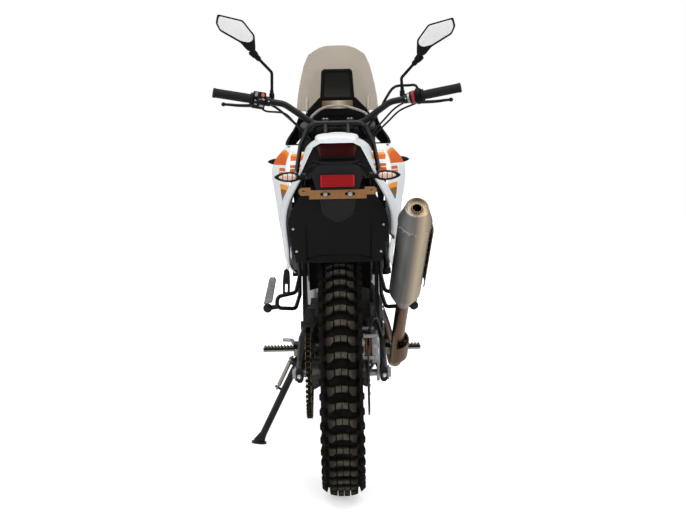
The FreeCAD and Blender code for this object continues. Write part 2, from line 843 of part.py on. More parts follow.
def pivot_bolt():
    """Swingarm pivot bolt through frame plates and swingarm."""
    shaft = cross_rod(SWING_Y, SWING_Z, -PLATE_OUT - 2, PLATE_OUT + 2, PIVOT_R)
    left = hexagon(-PLATE_OUT - 8, -PLATE_OUT, SWING_Y, SWING_Z, 15)
    right = hexagon(PLATE_OUT, PLATE_OUT + 8, SWING_Y, SWING_Z, 15)
    return fused([shaft, left, right])


def seat_rails(radius, tie_radius):
    """Both upper rails and the cross ties between them."""
    upper = tube([Vector(-84, 694, 754), Vector(-88, 560, 836), Vector(-86, 300, 856),
                  Vector(-82, 120, 868), Vector(-62, -130, 908)], radius, 160)
    ties = [cross_rod(y, z, -86, 86, tie_radius) for y, z in ((420, 847), (120, 868))]
    return [upper, flipped(upper)] + ties


def subframe():
    """Bolted rear frame that carries seat, tail and rear panels."""
    lower = tube([Vector(-108, 600, 654), Vector(-104, 420, 752), Vector(-86, 200, 860)],
                 RAIL_R, 160)
    tail = cross_rod(-118, 906, -66, 66, 9)
    hanger = tube([Vector(84, 150, 866), Vector(112, 120, 790), Vector(132, 62, 650),
                   Vector(132, 52, 618)], 7, 40)
    lug = cross_rod(56, 628, 128, HANGER_X, 9)
    post = cross_rod(PANEL_POST_Y, PANEL_POST_Z, -PANEL_POST_X, -102, 6)
    return fused(seat_rails(RAIL_R, 9) + [lower, flipped(lower), tail, hanger, lug, post,
                                          flipped(post)])


# Engine and exhaust

def engine_case():
    """Crankcase with its round side covers and the cylinder standing on it."""
    case = side_plate([(660, 308), (890, 308), (940, 345), (946, 420), (890, 500), (760, 520),
                       (650, 500), (612, 470), (606, 380)], -74, 92)
    front_left = side_plate([(720, 314), (890, 312), (930, 350), (924, 420), (860, 480),
                             (740, 470), (700, 400)], -100, -74)
    dynamo = cross_rod(820, 390, -122, -90, 72)
    clutch = cross_rod(730, 390, 90, 132, 82)
    water_pump = cross_rod(872, 350, 90, 128, 34)
    barrel_axis = Vector(0, 0.27, 0.963)
    barrel_foot = Vector(0, 838, 490)
    barrel = rod(barrel_foot, barrel_foot + barrel_axis * 96, 62)
    drive_room = cross_rod(DRIVE_Y, DRIVE_Z, CHAIN_X - 30, -80, 56)
    lugs = [block(side * 75 - 9, side * 75 + 9, y, y + 26, 276, 316)
            for side in (1, -1) for y in (700, 880)]
    solid = fused([case, front_left, dynamo, clutch, water_pump, barrel] + lugs)
    return solid.cut(drive_room).cut(rod_clearance()).cut(cradle_room())


def rod_clearance():
    """Room for the swingarm pivot behind the case."""
    return cross_rod(SWING_Y, SWING_Z, -200, 200, 30)


def cylinder_head():
    """Head with its cam cover, intake stub behind and exhaust port in front."""
    foot = Vector(0, 838, 490) + Vector(0, 0.27, 0.963) * 96.3
    turn = FreeCAD.Rotation(Vector(1, 0, 0), -math.degrees(math.atan2(0.27, 0.963)))
    head = block(-68, 68, -66, 66, 0, 62)
    cover = block(-60, 60, -52, 52, 62, 112)
    stub = rod(Vector(0, -60, 34), Vector(0, -108, 52), 24)
    port = rod(Vector(44, 60, 26), Vector(46, 88, 20), 22)
    fins = [block(-71, 71, -69, 69, z, z + 4) for z in (10, 22, 34, 46)]
    solid = fused([head, cover, stub, port] + fins)
    solid.Placement = FreeCAD.Placement(foot, turn)
    return solid


def radiators():
    """A cooling core with its tanks on each side of the down tube, joined by a hose."""
    core = block(-168, -66, 1026, 1058, 560, 770)
    top = block(-164, -70, 1024, 1060, 770, 792)
    low = block(-164, -70, 1024, 1060, 540, 560)
    post = cross_rod(1042, 690, -187.8, -166, 6)
    left = fused([core, top, low, post])
    straps = [block(-70, 70, 1050, y, z, z + 14) for y, z in ((1062, 600), (1071, 744))]
    return fused([left, flipped(left)] + straps)


def exhaust_points():
    return [Vector(46.2, 954.6, 577.8), Vector(50, 1000, 553), Vector(106, 1000, 486),
            Vector(144, 945, 378), Vector(162, 858, 306), Vector(163, 620, 298),
            Vector(166, 500, 312), silencer_point(-200), silencer_point(0)]


def silencer_point(along):
    """Point on the silencer's axis, so far behind its front end."""
    start = Vector(182, 186, 524)
    run = Vector(210, -250, 817) - start
    run.normalize()
    return start + run * along


def header_pipe():
    """Exhaust pipe from the port round the engine's right side up to the silencer."""
    points = exhaust_points()
    return tube(points, PIPE_R, 90, PIPE_R - 2)


def silencer():
    """Conical inlet, round body and stepped outlet cap with an open end."""
    axis_end = silencer_point(SILENCER_LENGTH)
    shapes = [cone_between(silencer_point(SEAT_GAP), silencer_point(70), PIPE_R + 3, SILENCER_R),
              rod(silencer_point(70), silencer_point(SILENCER_LENGTH - 60), SILENCER_R),
              ring(silencer_point(SILENCER_LENGTH - 68), silencer_point(SILENCER_LENGTH - 58),
                   SILENCER_R + 2, SILENCER_R - 4),
              cone_between(silencer_point(SILENCER_LENGTH - 60), silencer_point(SILENCER_LENGTH),
                           SILENCER_R, 31.0)]
    solid = fused(shapes)
    bore = rod(silencer_point(SILENCER_LENGTH - 90), axis_end + (axis_end - silencer_point(0)),
               11.0)
    return solid.cut(bore)


def cone_between(start, end, r_start, r_end):
    """Tapered round bar from start to end."""
    along = end - start
    return Part.makeCone(r_start, r_end, along.Length, start, along)


def heat_shields():
    """Bent shield strips that stand off the silencer and the pipe on the outer side."""
    shields = []
    start = silencer_point(110)
    end = silencer_point(SILENCER_LENGTH - 110)
    shell = ring(start, end, SILENCER_R + 9, SILENCER_R + 6.5)
    out = Vector(1, 0, 0.35)
    out.normalize()
    along = end - start
    side = along.cross(out)
    side.normalize()
    corners = [start + out * 25 + side * 30, start + out * 70 + side * 30,
               start + out * 70 - side * 30, start + out * 25 - side * 30]
    keep = flat(corners).extrude(along)
    studs = [rod(silencer_point(d) + out * (SILENCER_R + 0.0), silencer_point(d)
                 + out * (SILENCER_R + 8), 4) for d in (135, SILENCER_LENGTH - 135)]
    shields.append(fused([shell.common(keep)] + studs).cut(
        rod(silencer_point(60), silencer_point(SILENCER_LENGTH - 60), SILENCER_R + 0.02)))
    return Part.makeCompound(shields + [pipe_shield()])


def pipe_shield():
    """Shield over the rising pipe behind the right footpeg."""
    points = exhaust_points()
    run = points[7] - points[6]
    low = points[6] + run * 0.30
    high = points[6] + run * 0.80
    outer = ring(low, high, PIPE_R + 16, PIPE_R + 13)
    centre = (low + high) * 0.5
    strip = outer.common(block(centre.x - 4, 260, 100, 700, 200, 700))
    studs = [rod(low + (high - low) * share + Vector(PIPE_R + 0.4, 0, 0),
                 low + (high - low) * share + Vector(PIPE_R + 14, 0, 0), 4)
             for share in (0.2, 0.8)]
    return fused([strip] + studs)


# Fuel tank, seat and panels

def tank_body(gap):
    """Main form of the tank, larger by the gap all round."""
    rows = [(600 - gap, 884, 62, 30), (700, 905, 92, 52), (830, 925, 112, 78),
            (950, 930, 112, 80), (1030 + gap, 925, 84, 62)]
    return lofted([rounded_section(y, z, w + gap, h + gap, 2.8) for y, z, w, h in rows])


def fuel_tank():
    """Tank saddled over the spars, highest at the filler."""
    body = tank_body(0.0)
    cap = rod(Vector(0, 905, 990), Vector(0, 909, 1022), 36)
    room = tube(spar_points(), SPAR_R + SEAT_GAP, 120)
    solid = fused([body, cap]).cut(room).cut(flipped(room))
    return solid.cut(steering_room())


def steering_room():
    """Space beside and round the head that the fork tubes and yokes sweep lock to lock."""
    low = HEAD_LOW - CLAMP_DEPTH - 8
    high = HEAD_HIGH + 110
    inner = HEAD_R + 10
    outer = 148.0
    face = flat([Vector(inner, 0, low), Vector(outer, 0, low), Vector(outer, 0, high),
                 Vector(inner, 0, high)])
    face.rotate(Vector(0, 0, 0), Vector(0, 0, 1), -61)
    sweep = face.revolve(Vector(0, 0, 0), Vector(0, 0, 1), 139)
    middle = rod(Vector(0, 0, low), Vector(0, 0, high), HEAD_R + 12)
    return on_steering(Part.makeCompound([sweep, flipped(sweep), middle]))


def seat():
    """Long bench seat, narrow at the tank, wide and flat over the tail."""
    rows = [(650, 968, 58, 19), (560, 922, 84, 46), (400, 910, 104, 56), (240, 918, 95, 55),
            (80, 928, 94, 52), (-60, 944, 88, 36)]
    cushion = lofted([rounded_section(y, z, w, h, 3.4) for y, z, w, h in rows])
    cushion = cushion.cut(tank_body(SEAT_GAP))
    for rail in seat_rails(RAIL_R + SEAT_GAP, 9 + SEAT_GAP):
        cushion = cushion.cut(rail)
    return cushion


def panel_from_widths(levels, stations, width):
    """Left-hand body panel through points at the given heights and lengths."""
    rows = []
    for z in levels:
        rows.append([Vector(-width(y, z), y, z) for y in stations])
    return skin(rows, WALL)


def blend(table, value):
    """Value of a smooth curve through (place, size) pairs."""
    for (a, va), (b, vb) in zip(table, table[1:]):
        if value <= b:
            t = max(0.0, (value - a) / (b - a))
            t = t * t * (3 - 2 * t)
            return va + (vb - va) * t
    return table[-1][1]


def front_width(y, z):
    """Half-width of the front panels: widest over the radiators."""
    full = blend([(520, 150), (626, 186), (746, 207), (842, 221), (890, 229), (930, 216),
                  (990, 172)], z)
    share = blend([(540, 0.62), (700, 0.80), (900, 0.96), (1040, 1.0), (1220, 0.90)], y)
    return full * share


def front_panels():
    """Wide moulded panels beside the tank and radiators, swept back from the nose."""
    left = panel_from_widths((520, 600, 700, 790, 860, 905, 945, 992),
                             (540, 650, 760, 880, 1000, 1100, 1220), front_width)
    outline = [(570, 800), (573, 862), (600, 908), (650, 946), (720, 968), (820, 977),
               (1000, 982), (1150, 984), (1205, 930),
               (1190, 820), (1120, 720), (1010, 610), (930, 552), (870, 548), (838, 600),
               (800, 700), (720, 762), (600, 778)]
    return both_sides(left.common(side_plate(outline, -300, 0)))


def rear_width(y, z):
    """Half-width of the rear side panels."""
    full = blend([(620, 134), (653, 144), (705, 168), (790, 172), (831, 161), (880, 136),
                  (915, 113), (960, 100)], z)
    share = blend([(-220, 0.80), (-60, 0.88), (150, 1.0), (400, 1.0), (560, 0.86)], y)
    return full * share


def rear_panels():
    """Side panels under the seat, rising to the tail."""
    left = panel_from_widths((630, 690, 740, 800, 850, 900, 940),
                             (-210, -80, 60, 200, 340, 560), rear_width)
    top = [(556, 770), (520, 850), (300, 872), (190, 877), (100, 896), (-63, 904.7), (-150, 898)]
    near = [(-118, 822), (-92, 700), (-20, 632), (330, 636), (470, 680)]
    far = [(-118, 822), (-92, 742), (20, 730), (330, 700), (470, 710)]
    right = flipped(left).common(side_plate(top + far, 0, 300))
    return Part.makeCompound([left.common(side_plate(top + near, -300, 0)), right])


def tail_section(y, low, shoulder, top, inset=0.0):
    """Six-cornered section of the tail moulding, inset all round but open below."""
    (low_x, low_z), (side_x, side_z), (top_x, top_z) = low, shoulder, top
    drop = 30.0 if inset else 0.0
    half = [(low_x - inset * 1.15 + drop * (low_x - side_x) / (side_z - low_z), low_z - drop),
            (side_x - inset * 1.1, side_z - inset * 0.5), (top_x - inset * 0.4, top_z - inset)]
    points = [Vector(x, y, z) for x, z in half]
    points += [Vector(-x, y, z) for x, z in reversed(half)]
    return Part.makePolygon(points + points[:1])


def tail_form(inset=0.0, reach=0.0):
    """The tail moulding's outer form, or the same form inset by a wall."""
    rows = [(-244 - reach, (101, 912), (67, 984), (40, 999)),
            (-150, (106, 908), (78, 984), (48, 1003)),
            (-64 + reach, (109, 905), (88, 974), (56, 1000))]
    return boxy_loft([tail_section(y, low, side, top, inset) for y, low, side, top in rows])


def tail_cover():
    """Tail moulding: a thin channel over the lamp, cut back below, with its raised hump."""
    shell = tail_form().cut(tail_form(WALL, 1.0))
    cut_back = side_plate([(-260, 1010), (-246, 996), (-206, 912), (-206, 880), (-260, 880)],
                          -130, 130)
    return fused([shell.cut(cut_back), tail_hump(0.0).cut(tail_form(1.0, 1.0))])


def tail_hump(gap):
    """Rounded pad on top of the tail moulding, larger by the gap all round."""
    return lofted([rounded_section(y, z, w + gap, h + gap, 3.4)
                   for y, z, w, h in ((-190 - gap, 994, 50, 10), (-140, 1001, 57, 15),
                                      (-66 + gap, 1002, 60, 17))])


def tail_light():
    """Lamp with its lens let into the end of the tail."""
    outline = [(-53, 984), (-30, 990), (0, 991.5), (30, 990), (53, 984), (46, 957), (-46, 957)]
    lens = rear_plate(outline, -230, -206.4)
    shaved = side_plate([(-236, 950), (-219, 950), (-236, 992)], -70, 70)
    return lens.cut(shaved)


def plate_holder():
    """Dark body under the tail with the tongue that carries bracket and reflector."""
    arm = rear_plate([(-69, 908), (69, 908), (57, 867), (48, 843), (41, 802), (8, 782), (-8, 782),
                      (-41, 802), (-48, 843), (-57, 867)], -232, -226)
    rows = [(-206, 94.5, 914, 61.5, 980, 36), (-146, 99.5, 912, 72, 980.5, 44)]
    body = boxy_loft([six_sided(*row) for row in rows])
    chin = boxy_loft([six_sided(-232, 69, 908, 56, 930, 40), six_sided(-205, 84, 908, 62, 944, 44)])
    stem = side_plate([(-226, 880), (-226, 908), (-146, 916), (-127.3, 913), (-127.3, 900),
                       (-146, 898)], -40, 40)
    return fused([arm, body, chin, stem]).cut(plate_holes())


def six_sided(y, low_x, low_z, side_x, side_z, top_x):
    """Section with a flat foot, leaning sides and a flat top above them."""
    top_z = side_z + 0.42 * (side_x - top_x)
    half = [(low_x, low_z), (side_x, side_z), (top_x, top_z)]
    points = [Vector(x, y, z) for x, z in half] + [Vector(-x, y, z) for x, z in reversed(half)]
    return Part.makePolygon(points + points[:1])


def plate_bracket():
    """Bent metal plate carrier with slotted ears."""
    body = rear_plate([(-76, 844), (76, 844), (76, 868), (-76, 868)], -236, -232.3)
    ears = []
    for side in (1, -1):
        ear = rear_plate([(side * 72, 854), (side * 97, 854), (side * 104, 860),
                          (side * 104, 870), (side * 97, 875), (side * 72, 875)], -236, -232.3)
        ears.append(ear.cut(rear_plate([(side * 86, 862), (side * 95, 862), (side * 95, 867),
                                        (side * 86, 867)], -240, -230)))
    return fused([body] + ears).cut(plate_holes())


def plate_holes():
    """Both holes for the number plate's bolts."""
    return Part.makeCompound([rod(Vector(x, -250, PLATE_HOLE_Z), Vector(x, -210, PLATE_HOLE_Z),
                                  PLATE_HOLE_R) for x in (-PLATE_HOLE_X, PLATE_HOLE_X)])


def reflector():
    return rear_plate([(-44, 877), (44, 877), (44, 907), (-44, 907)], -242, -232.3)


def inner_fender():
    """Moulded guard over the tyre: an arch, walls up to the rails, and a rear apron."""
    rows = []
    for turn in (-24, -8, 8, 24, 40, 54):
        angle = math.radians(turn)
        row = []
        for share in (1, 0.85, 0.5, 0, -0.5, -0.85, -1):
            r = ARCH_R - 16 * abs(share) ** 3
            row.append(Vector(ARCH_HALF * share, r * math.sin(angle),
                              REAR_R + r * math.cos(angle)))
        rows.append(row)
    arch = skin(rows, 3.0)
    wall = side_plate([(-146, 672), (-166, 775), (-181, 866), (-128, 893.5), (110, 855), (110, 686.5),
                       (60, 698.5), (0, 703.5), (-100, 690)],
                      -ARCH_HALF - 0.5, -ARCH_HALF + 2.5)
    roof = side_plate([(116, 856.2), (-128, 895.6), (-128, 892.6), (116, 853.2)],
                      -ARCH_HALF, ARCH_HALF)
    apron = lofted_apron()
    return fused([arch, wall, flipped(wall), roof, apron])


def lofted_apron():
    """Rear apron between the side panels, down to its lip behind the tyre."""
    rows = []
    for y, z, half in ((-196, 868, 92), (-186, 820, 122), (-172, 775, 136), (-158, 725, 130),
                       (-150, 668, 119)):
        rows.append([Vector(half * share, y + 16 * share * share, z)
                     for share in (-1, -0.6, -0.2, 0.2, 0.6, 1)])
    return skin(rows, 3.0)


def grab_rack():
    """Tubular hand-hold round the tail with two posts."""
    half = [Vector(-102.2, 230, 864), Vector(-102.2, 206, 888), Vector(-117, 120, 918),
            Vector(-102, 20, 990), Vector(-74, -52, 1046)]
    other = [Vector(-p.x, p.y, p.z) for p in reversed(half)]
    hoop = tube(half + other, RACK_R, 26)
    posts = [rod(Vector(x, -52, 1046), Vector(x, -92, 1006), 5) for x in (-31, 31)]
    return fused([hoop] + posts).cut(tail_hump(SEAT_GAP))


def rear_signals():
    """Indicators on short stalks beside the plate bracket."""
    lamp = leaf_lamp(-104, -169, -204, 904, 14, 15)
    stalk = cross_rod(-216, 902, -108, -84.5, 6.5)
    return both_sides(fused([lamp, stalk]))


def leaf_lamp(x_root, x_tip, y, z, half_height, half_depth):
    """Indicator housing, pointed at its tip and blunt at its root."""
    sections = []
    for share, size in ((0.0, 0.55), (0.12, 0.85), (0.35, 1.0), (0.65, 0.86), (0.88, 0.5),
                        (1.0, 0.14)):
        x = x_root + (x_tip - x_root) * share
        points = []
        for i in range(12):
            turn = 2 * math.pi * i / 12
            points.append(Vector(x, y + half_depth * size * math.cos(turn),
                                 z + half_height * size * math.sin(turn)))
        sections.append(smooth_ring(points))
    return Part.makeLoft(sections, True, False)


def front_signals():
    lamp = leaf_lamp(-217, -262, 1145, 930, 11, 14)
    stalk = cross_rod(1145, 930, -219, -213.5, 6)
    return both_sides(fused([lamp, stalk]))


def windscreen():
    """Clear screen, bowed across and leaning back."""
    rows = []
    for z in (1104, 1160, 1220, 1270, 1310, 1334):
        half = blend([(1104, 142), (1220, 132), (1290, 108), (1334, 52)], z)
        back = SCREEN_Y - (z - 1104) * 0.34
        rows.append([Vector(half * share, back - 58 * share * share, z)
                     for share in (-1, -0.7, -0.35, 0, 0.35, 0.7, 1)])
    return skin(rows, 3.0)


def display_tower():
    """Instrument panel on its bracket behind the screen."""
    plate = rear_plate([(-108, 1101), (108, 1101), (60, 1150), (54, 1240), (46, 1248),
                        (-46, 1248), (-54, 1240), (-60, 1150)], DISPLAY_Y, DISPLAY_Y + 16)
    foot = block(-60, 60, DISPLAY_Y, LAMP_Y, 1086, 1101.0)
    return fused([plate, foot])


def headlight():
    """Lamp unit in the nose between the cowl sides."""
    body = boxy_loft([chamfered(LAMP_Y, -LAMP_HALF, LAMP_HALF, 905, 1086, 22),
                      chamfered(LAMP_Y + 68, -92, 92, 915, 1080, 24),
                      chamfered(LAMP_Y + 110, -70, 70, 930, 1060, 24)])
    return body


def cowl_sides():
    """Dark cheeks that join the front panels to the screen."""
    rows = []
    for z in (975, 1000, 1030, 1055, 1070, 1098):
        half = blend([(975, 182), (1000, 178), (1055, 146), (1098, 128)], z)
        rows.append([Vector(-half * share, y, z) for y, share in
                     ((LAMP_Y - 182, 1.0), (LAMP_Y - 112, 1.0), (LAMP_Y - 42, 0.98),
                      (LAMP_Y + 28, 0.93))])
    left = skin(rows, WALL)
    outline = [(LAMP_Y - 172, 990), (LAMP_Y - 112, 1060), (LAMP_Y - 62, 1095), (LAMP_Y + 28, 1095),
               (LAMP_Y + 24, 990), (LAMP_Y - 62, 984)]
    side = left.common(side_plate(outline, -300, 0))
    return both_sides(fused([side, cheek_wall()]))


def cheek_wall():
    """Wall across the cheek that faces the rider, with its three-cornered opening."""
    corners = [(985, -176), (1000, -174.5), (1030, -160.5), (1055, -143), (1092, -127), (1092, -113),
               (1060, -113), (1000, -113), (985, -113)]
    wall = rear_plate([(x, z) for z, x in corners], CHEEK_WALL_Y, CHEEK_WALL_Y + WALL)
    hole = rear_plate([(-124, 990), (-148, 990), (-128, 1012)], CHEEK_WALL_Y - 5,
                      CHEEK_WALL_Y + WALL + 5)
    return wall.cut(hole)


def cowl_frame():
    """Fairing stay: arms from the head, forward between the fork tubes, then out beside the
    lamp and up to the screen, with a pin to the lamp and a tab to each cheek."""
    arm = tube([steer_point(STAY_ALONG, HEAD_R - 0.7, -14), steer_point(STAY_ALONG, 150, -14),
                Vector(-106, LAMP_Y - 19, 962), Vector(-106, LAMP_Y + 22, 960),
                Vector(-106, LAMP_Y + 6, 1090), Vector(-106, LAMP_Y - 6, 1150)], 6, 30)
    tab = rod(Vector(-106, LAMP_Y + 13, 1026), Vector(-147.1, LAMP_Y - 3.7, 1026), 4)
    pin = cross_rod(LAMP_Y + 22, 975, -104, -LAMP_HALF + 0.75, 4)
    return both_sides(fused([arm, tab, pin]))


# Controls for the rider's feet

def footpegs():
    """Serrated platform on a hinge block each side."""
    tread = block(-245, -150, 508, 556, 346, 358)
    hollow = block(-238, -158, 516, 548, 340, 364)
    bars = [block(-238, -158, y, y + 5, 346, 356) for y in (522, 538)]
    arm = side_plate([(520, 330), (590, 330), (596, 368), (520, 366)], -151, -PLATE_OUT - 0.3)
    posts = [block(x, x + 5, 515, 549, 346, 356) for x in (-222, -198, -174)]
    return both_sides(fused([tread.cut(hollow), arm] + bars + posts))


def foot_controls():
    """Gear lever on the left and brake pedal on the right."""
    lever = tube([Vector(-74.4, 672, 348), Vector(-154, 672, 348), Vector(-162, 758, 352),
                  Vector(-192, 766, 354)], 6, 14)
    pedal = tube([Vector(158, 572, 349), Vector(160, 640, 342), Vector(162, 690, 346),
                  Vector(208, 706, 354)], 6, 14)
    boss = cross_rod(572, 349, 151.4, 166, 10)
    return Part.makeCompound([lever, fused([pedal, boss])])


def passenger_pegs():
    """Looped peg brackets with the pegs folded up."""
    loop = tube([Vector(-118.5, 352, 792), Vector(-120, 300, 600), Vector(-132, 262, 552),
                 Vector(-186, 250, 540), Vector(-186, 250, 512), Vector(-134, 262, 504),
                 Vector(-122, 320, 540), Vector(-121.5, 440, 752)], 6, 16)
    peg = rod(Vector(-194, 246, 520), Vector(-202, 240, 600), 8)
    boss = cross_rod(250, 522, -202, -184, 8)
    return both_sides(fused([loop, peg, boss]))


def skid_plate():
    """Bent guard under the engine."""
    outline = [(610, 256), (950, 272), (984, 284), (1062, 440), (1068, 437), (990, 279),
               (953, 266), (610, 250)]
    return side_plate(outline, -96, 96).cut(cradle_room())


def cradle_room():
    """Space taken by both cradle tubes and a seating gap round them."""
    tube_left = cradle_tube(CRADLE_R + SEAT_GAP)
    return Part.makeCompound([tube_left, flipped(tube_left)])


def cradle_tube(radius):
    """Left cradle tube from the foot of the down tube, under the engine, to the plate."""
    return tube([Vector(-6, 1070, 550), Vector(-58, 1046, 450), Vector(-72, 960, 288),
                 Vector(-78, 640, 268), Vector(-112, 590, 330)], radius, 90)


def rear_caliper():
    """Brake caliper over the back of the rear disc, on a carrier that hangs on the axle."""
    body = side_plate([(-92, 392), (-60, 372), (-20, 440), (-44, 476), (-88, 460)], 56, 94)
    inner = ARM_END_IN - SEAT_GAP
    arm = side_plate([(-20, 336), (-64, 404), (-52, 450), (-30, 446), (20, 352)], inner - 9, inner)
    eye = cross_rod(0, REAR_R, inner - 9, inner, 24)
    bolts = [cross_rod(y, z, 90, inner - 5, 7) for y, z in ((-56, 410), (-42, 440))]
    body = fused([body, arm, eye] + bolts).cut(cross_rod(0, REAR_R, 60, 140, AXLE_R + 0.02))
    slot = ring(Vector(REAR_DISC_X - 4, 0, REAR_R), Vector(REAR_DISC_X + 4, 0, REAR_R),
                REAR_DISC_R + 5, 40)
    return body.cut(slot)


# Steering

def on_steering(shape):
    """Moves a piece drawn about an upright steering axis onto the raked one."""
    turn = FreeCAD.Rotation(Vector(1, 0, 0), math.degrees(RAKE))
    placed = shape.copy()
    placed.Placement = FreeCAD.Placement(steer_point(0), turn)
    return placed


def clamp_plate(low, high, reach):
    """Fork yoke: a plate from tube to tube with a boss at the stem."""
    outline = [(-134, 10), (-134, 44), (-100, 62), (-60, 52), (-30, 34), (30, 34), (60, 52),
               (100, 62), (134, 44), (134, 10), (100, -6), (34, -10), (18, -reach),
               (-18, -reach), (-34, -10), (-100, -6)]
    points = [Vector(x, y, low) for x, y in outline]
    plate = flat(points).extrude(Vector(0, 0, high - low))
    holes = [rod(Vector(x, FORK_OFFSET, low - 1), Vector(x, FORK_OFFSET, high + 1),
                 FORK_TUBE_R + 0.02) for x in (-FORK_SPACING, FORK_SPACING)]
    return plate.cut(Part.makeCompound(holes))


def triple_clamps():
    """Both yokes, the stem between them and the bar clamps."""
    lower = clamp_plate(HEAD_LOW - CLAMP_DEPTH, HEAD_LOW, 30)
    upper = clamp_plate(HEAD_HIGH, HEAD_HIGH + CLAMP_DEPTH - 6, 30)
    stem = rod(Vector(0, 0, HEAD_LOW - CLAMP_DEPTH), Vector(0, 0, HEAD_HIGH + 30), STEM_R)
    nut = rod(Vector(0, 0, HEAD_HIGH + 24), Vector(0, 0, HEAD_HIGH + 34), 17)
    shapes = [lower, upper, stem, nut]
    for side in (1, -1):
        shapes.append(block(side * 42 - 13, side * 42 + 13, -12, 26, HEAD_HIGH + 20,
                            bar_height() + 14))
    solid = on_steering(fused(shapes))
    return solid.cut(cross_rod(BAR_CLAMP_Y, BAR_CLAMP_Z, -90, 90, BAR_R + 0.02))


def bar_height():
    """Distance of the handlebar's middle along the steering axis."""
    foot = steer_point(0)
    return ((BAR_CLAMP_Z - foot.z) * math.cos(RAKE) - (BAR_CLAMP_Y - foot.y) * math.sin(RAKE))


def fork_tubes():
    """Upper fork tubes, gripped by both yokes."""
    tubes = [rod(Vector(x, FORK_OFFSET, FORK_SPLIT), Vector(x, FORK_OFFSET, FORK_TOP),
                 FORK_TUBE_R) for x in (-FORK_SPACING, FORK_SPACING)]
    return on_steering(Part.makeCompound(tubes))


def fork_legs():
    """Sliding lower legs with their axle lugs and guards."""
    legs = []
    for x in (-FORK_SPACING, FORK_SPACING):
        slider = rod(Vector(x, FORK_OFFSET, 40), Vector(x, FORK_OFFSET, FORK_SPLIT - 0.4),
                     STANCHION_R)
        seal = rod(Vector(x, FORK_OFFSET, FORK_SPLIT - 14), Vector(x, FORK_OFFSET,
                                                                   FORK_SPLIT - 0.4), 29)
        lug = rod(Vector(x, FORK_OFFSET, -16), Vector(x, FORK_OFFSET, 74), LUG_R)
        eye = cross_rod(FORK_OFFSET + AXLE_LEAD, 0, x - 22, x + 22, 26)
        guard = ring(Vector(x, FORK_OFFSET, 30), Vector(x, FORK_OFFSET, 300), 34, 30.5)
        front = block(x - 40, x + 40, FORK_OFFSET + 6, FORK_OFFSET + 50, 20, 310)
        tie = block(x - 12, x + 12, FORK_OFFSET + 20, FORK_OFFSET + 33, 40, 70)
        legs.append(fused([slider, seal, lug, eye, guard.common(front), tie]))
    solid = Part.makeCompound(legs)
    bore = cross_rod(FORK_OFFSET + AXLE_LEAD, 0, -200, 200, AXLE_R)
    return on_steering(solid.cut(bore))


def front_axle():
    """Hollow spindle with its spacers and nut."""
    y, z = WHEELBASE, front_axle_z()
    spindle = cross_rod(y, z, -126, 126, AXLE_R - 0.02)
    left_space = cross_rod(y, z, FRONT_DISC_X - DISC_HALF - 13, FRONT_DISC_X - DISC_HALF - 0.5,
                           15)
    right_space = cross_rod(y, z, 52.5, 77.5, 15)
    nut = hexagon(122.5, 130, y, z, 15)
    solid = fused([spindle, left_space, right_space, nut])
    return solid.cut(cross_rod(y, z, -300, 300, AXLE_BORE_R))


def bar_points():
    return [Vector(-BAR_END_X, BAR_END_Y, BAR_END_Z), Vector(-BAR_BEND_X, BAR_BEND_Y, BAR_BEND_Z),
            Vector(-80, BAR_CLAMP_Y, BAR_CLAMP_Z), Vector(80, BAR_CLAMP_Y, BAR_CLAMP_Z),
            Vector(BAR_BEND_X, BAR_BEND_Y, BAR_BEND_Z), Vector(BAR_END_X, BAR_END_Y, BAR_END_Z)]


def handlebar():
    return tube(bar_points(), BAR_R, 60)


def grip_point(along):
    """Point on the left end of the bar, so far in from its tip."""
    tip, bend = bar_points()[:2]
    run = bend - tip
    run.normalize()
    return tip + run * along


def grips():
    """Rubber grips with an inner flange, sleeved over the bar ends."""
    sleeve = rod(grip_point(-5), grip_point(GRIP_LENGTH), GRIP_R)
    flange = rod(grip_point(GRIP_LENGTH), grip_point(GRIP_LENGTH + 5), GRIP_R + 6)
    bore = rod(grip_point(0), grip_point(GRIP_LENGTH + 20), BAR_R + 0.02)
    return both_sides(fused([sleeve, flange]).cut(bore))


def hand_controls():
    """Switch housings, lever perches and the two levers."""
    shapes = []
    perch = rod(grip_point(GRIP_LENGTH + 8), grip_point(GRIP_LENGTH + 60), 21)
    perch = perch.cut(rod(grip_point(0), grip_point(300), BAR_R + 0.02))
    mount = grip_point(GRIP_LENGTH + 40)
    lever = tube([mount + Vector(0, 14, 0), mount + Vector(-4, 52, 2),
                  grip_point(60) + Vector(0, 62, 0), grip_point(-18) + Vector(0, 48, 0)], 6, 30)
    left = fused([perch, lever])
    return both_sides(left)


def mirrors():
    """Mirrors on cranked stems above the bar."""
    stem = tube([grip_point(GRIP_LENGTH + 34) + Vector(0, 4, 23),
                 Vector(-226, MIRROR_Y + 36, 1206), Vector(-268, MIRROR_Y + 16, 1290)], 5, 24)
    outline = [(-404, 1382), (-396, 1414), (-310, 1392), (-272, 1340), (-270, 1290),
               (-292, 1284), (-396, 1350)]
    head = rear_plate(outline, MIRROR_Y, MIRROR_Y + MIRROR_DEPTH)
    return both_sides(fused([stem, head]))


def front_fender():
    """High guard bolted under the lower yoke."""
    rows = []
    for y, z, half, drop in ((1142, 801.2, 46, 0), (1180, 821.0, 50, 0), (1216, 839.4, 54, 3),
                             (1330, 876, 62, 22), (1480, 888, 66, 30), (1640, 870, 62, 30),
                             (1780, 826, 46, 22), (1836, 796, 22, 6)):
        rows.append([Vector(half * share, y, z - drop * share * share) for share in
                     (1, 0.6, 0, -0.6, -1)])
    return skin(rows, 3.5)


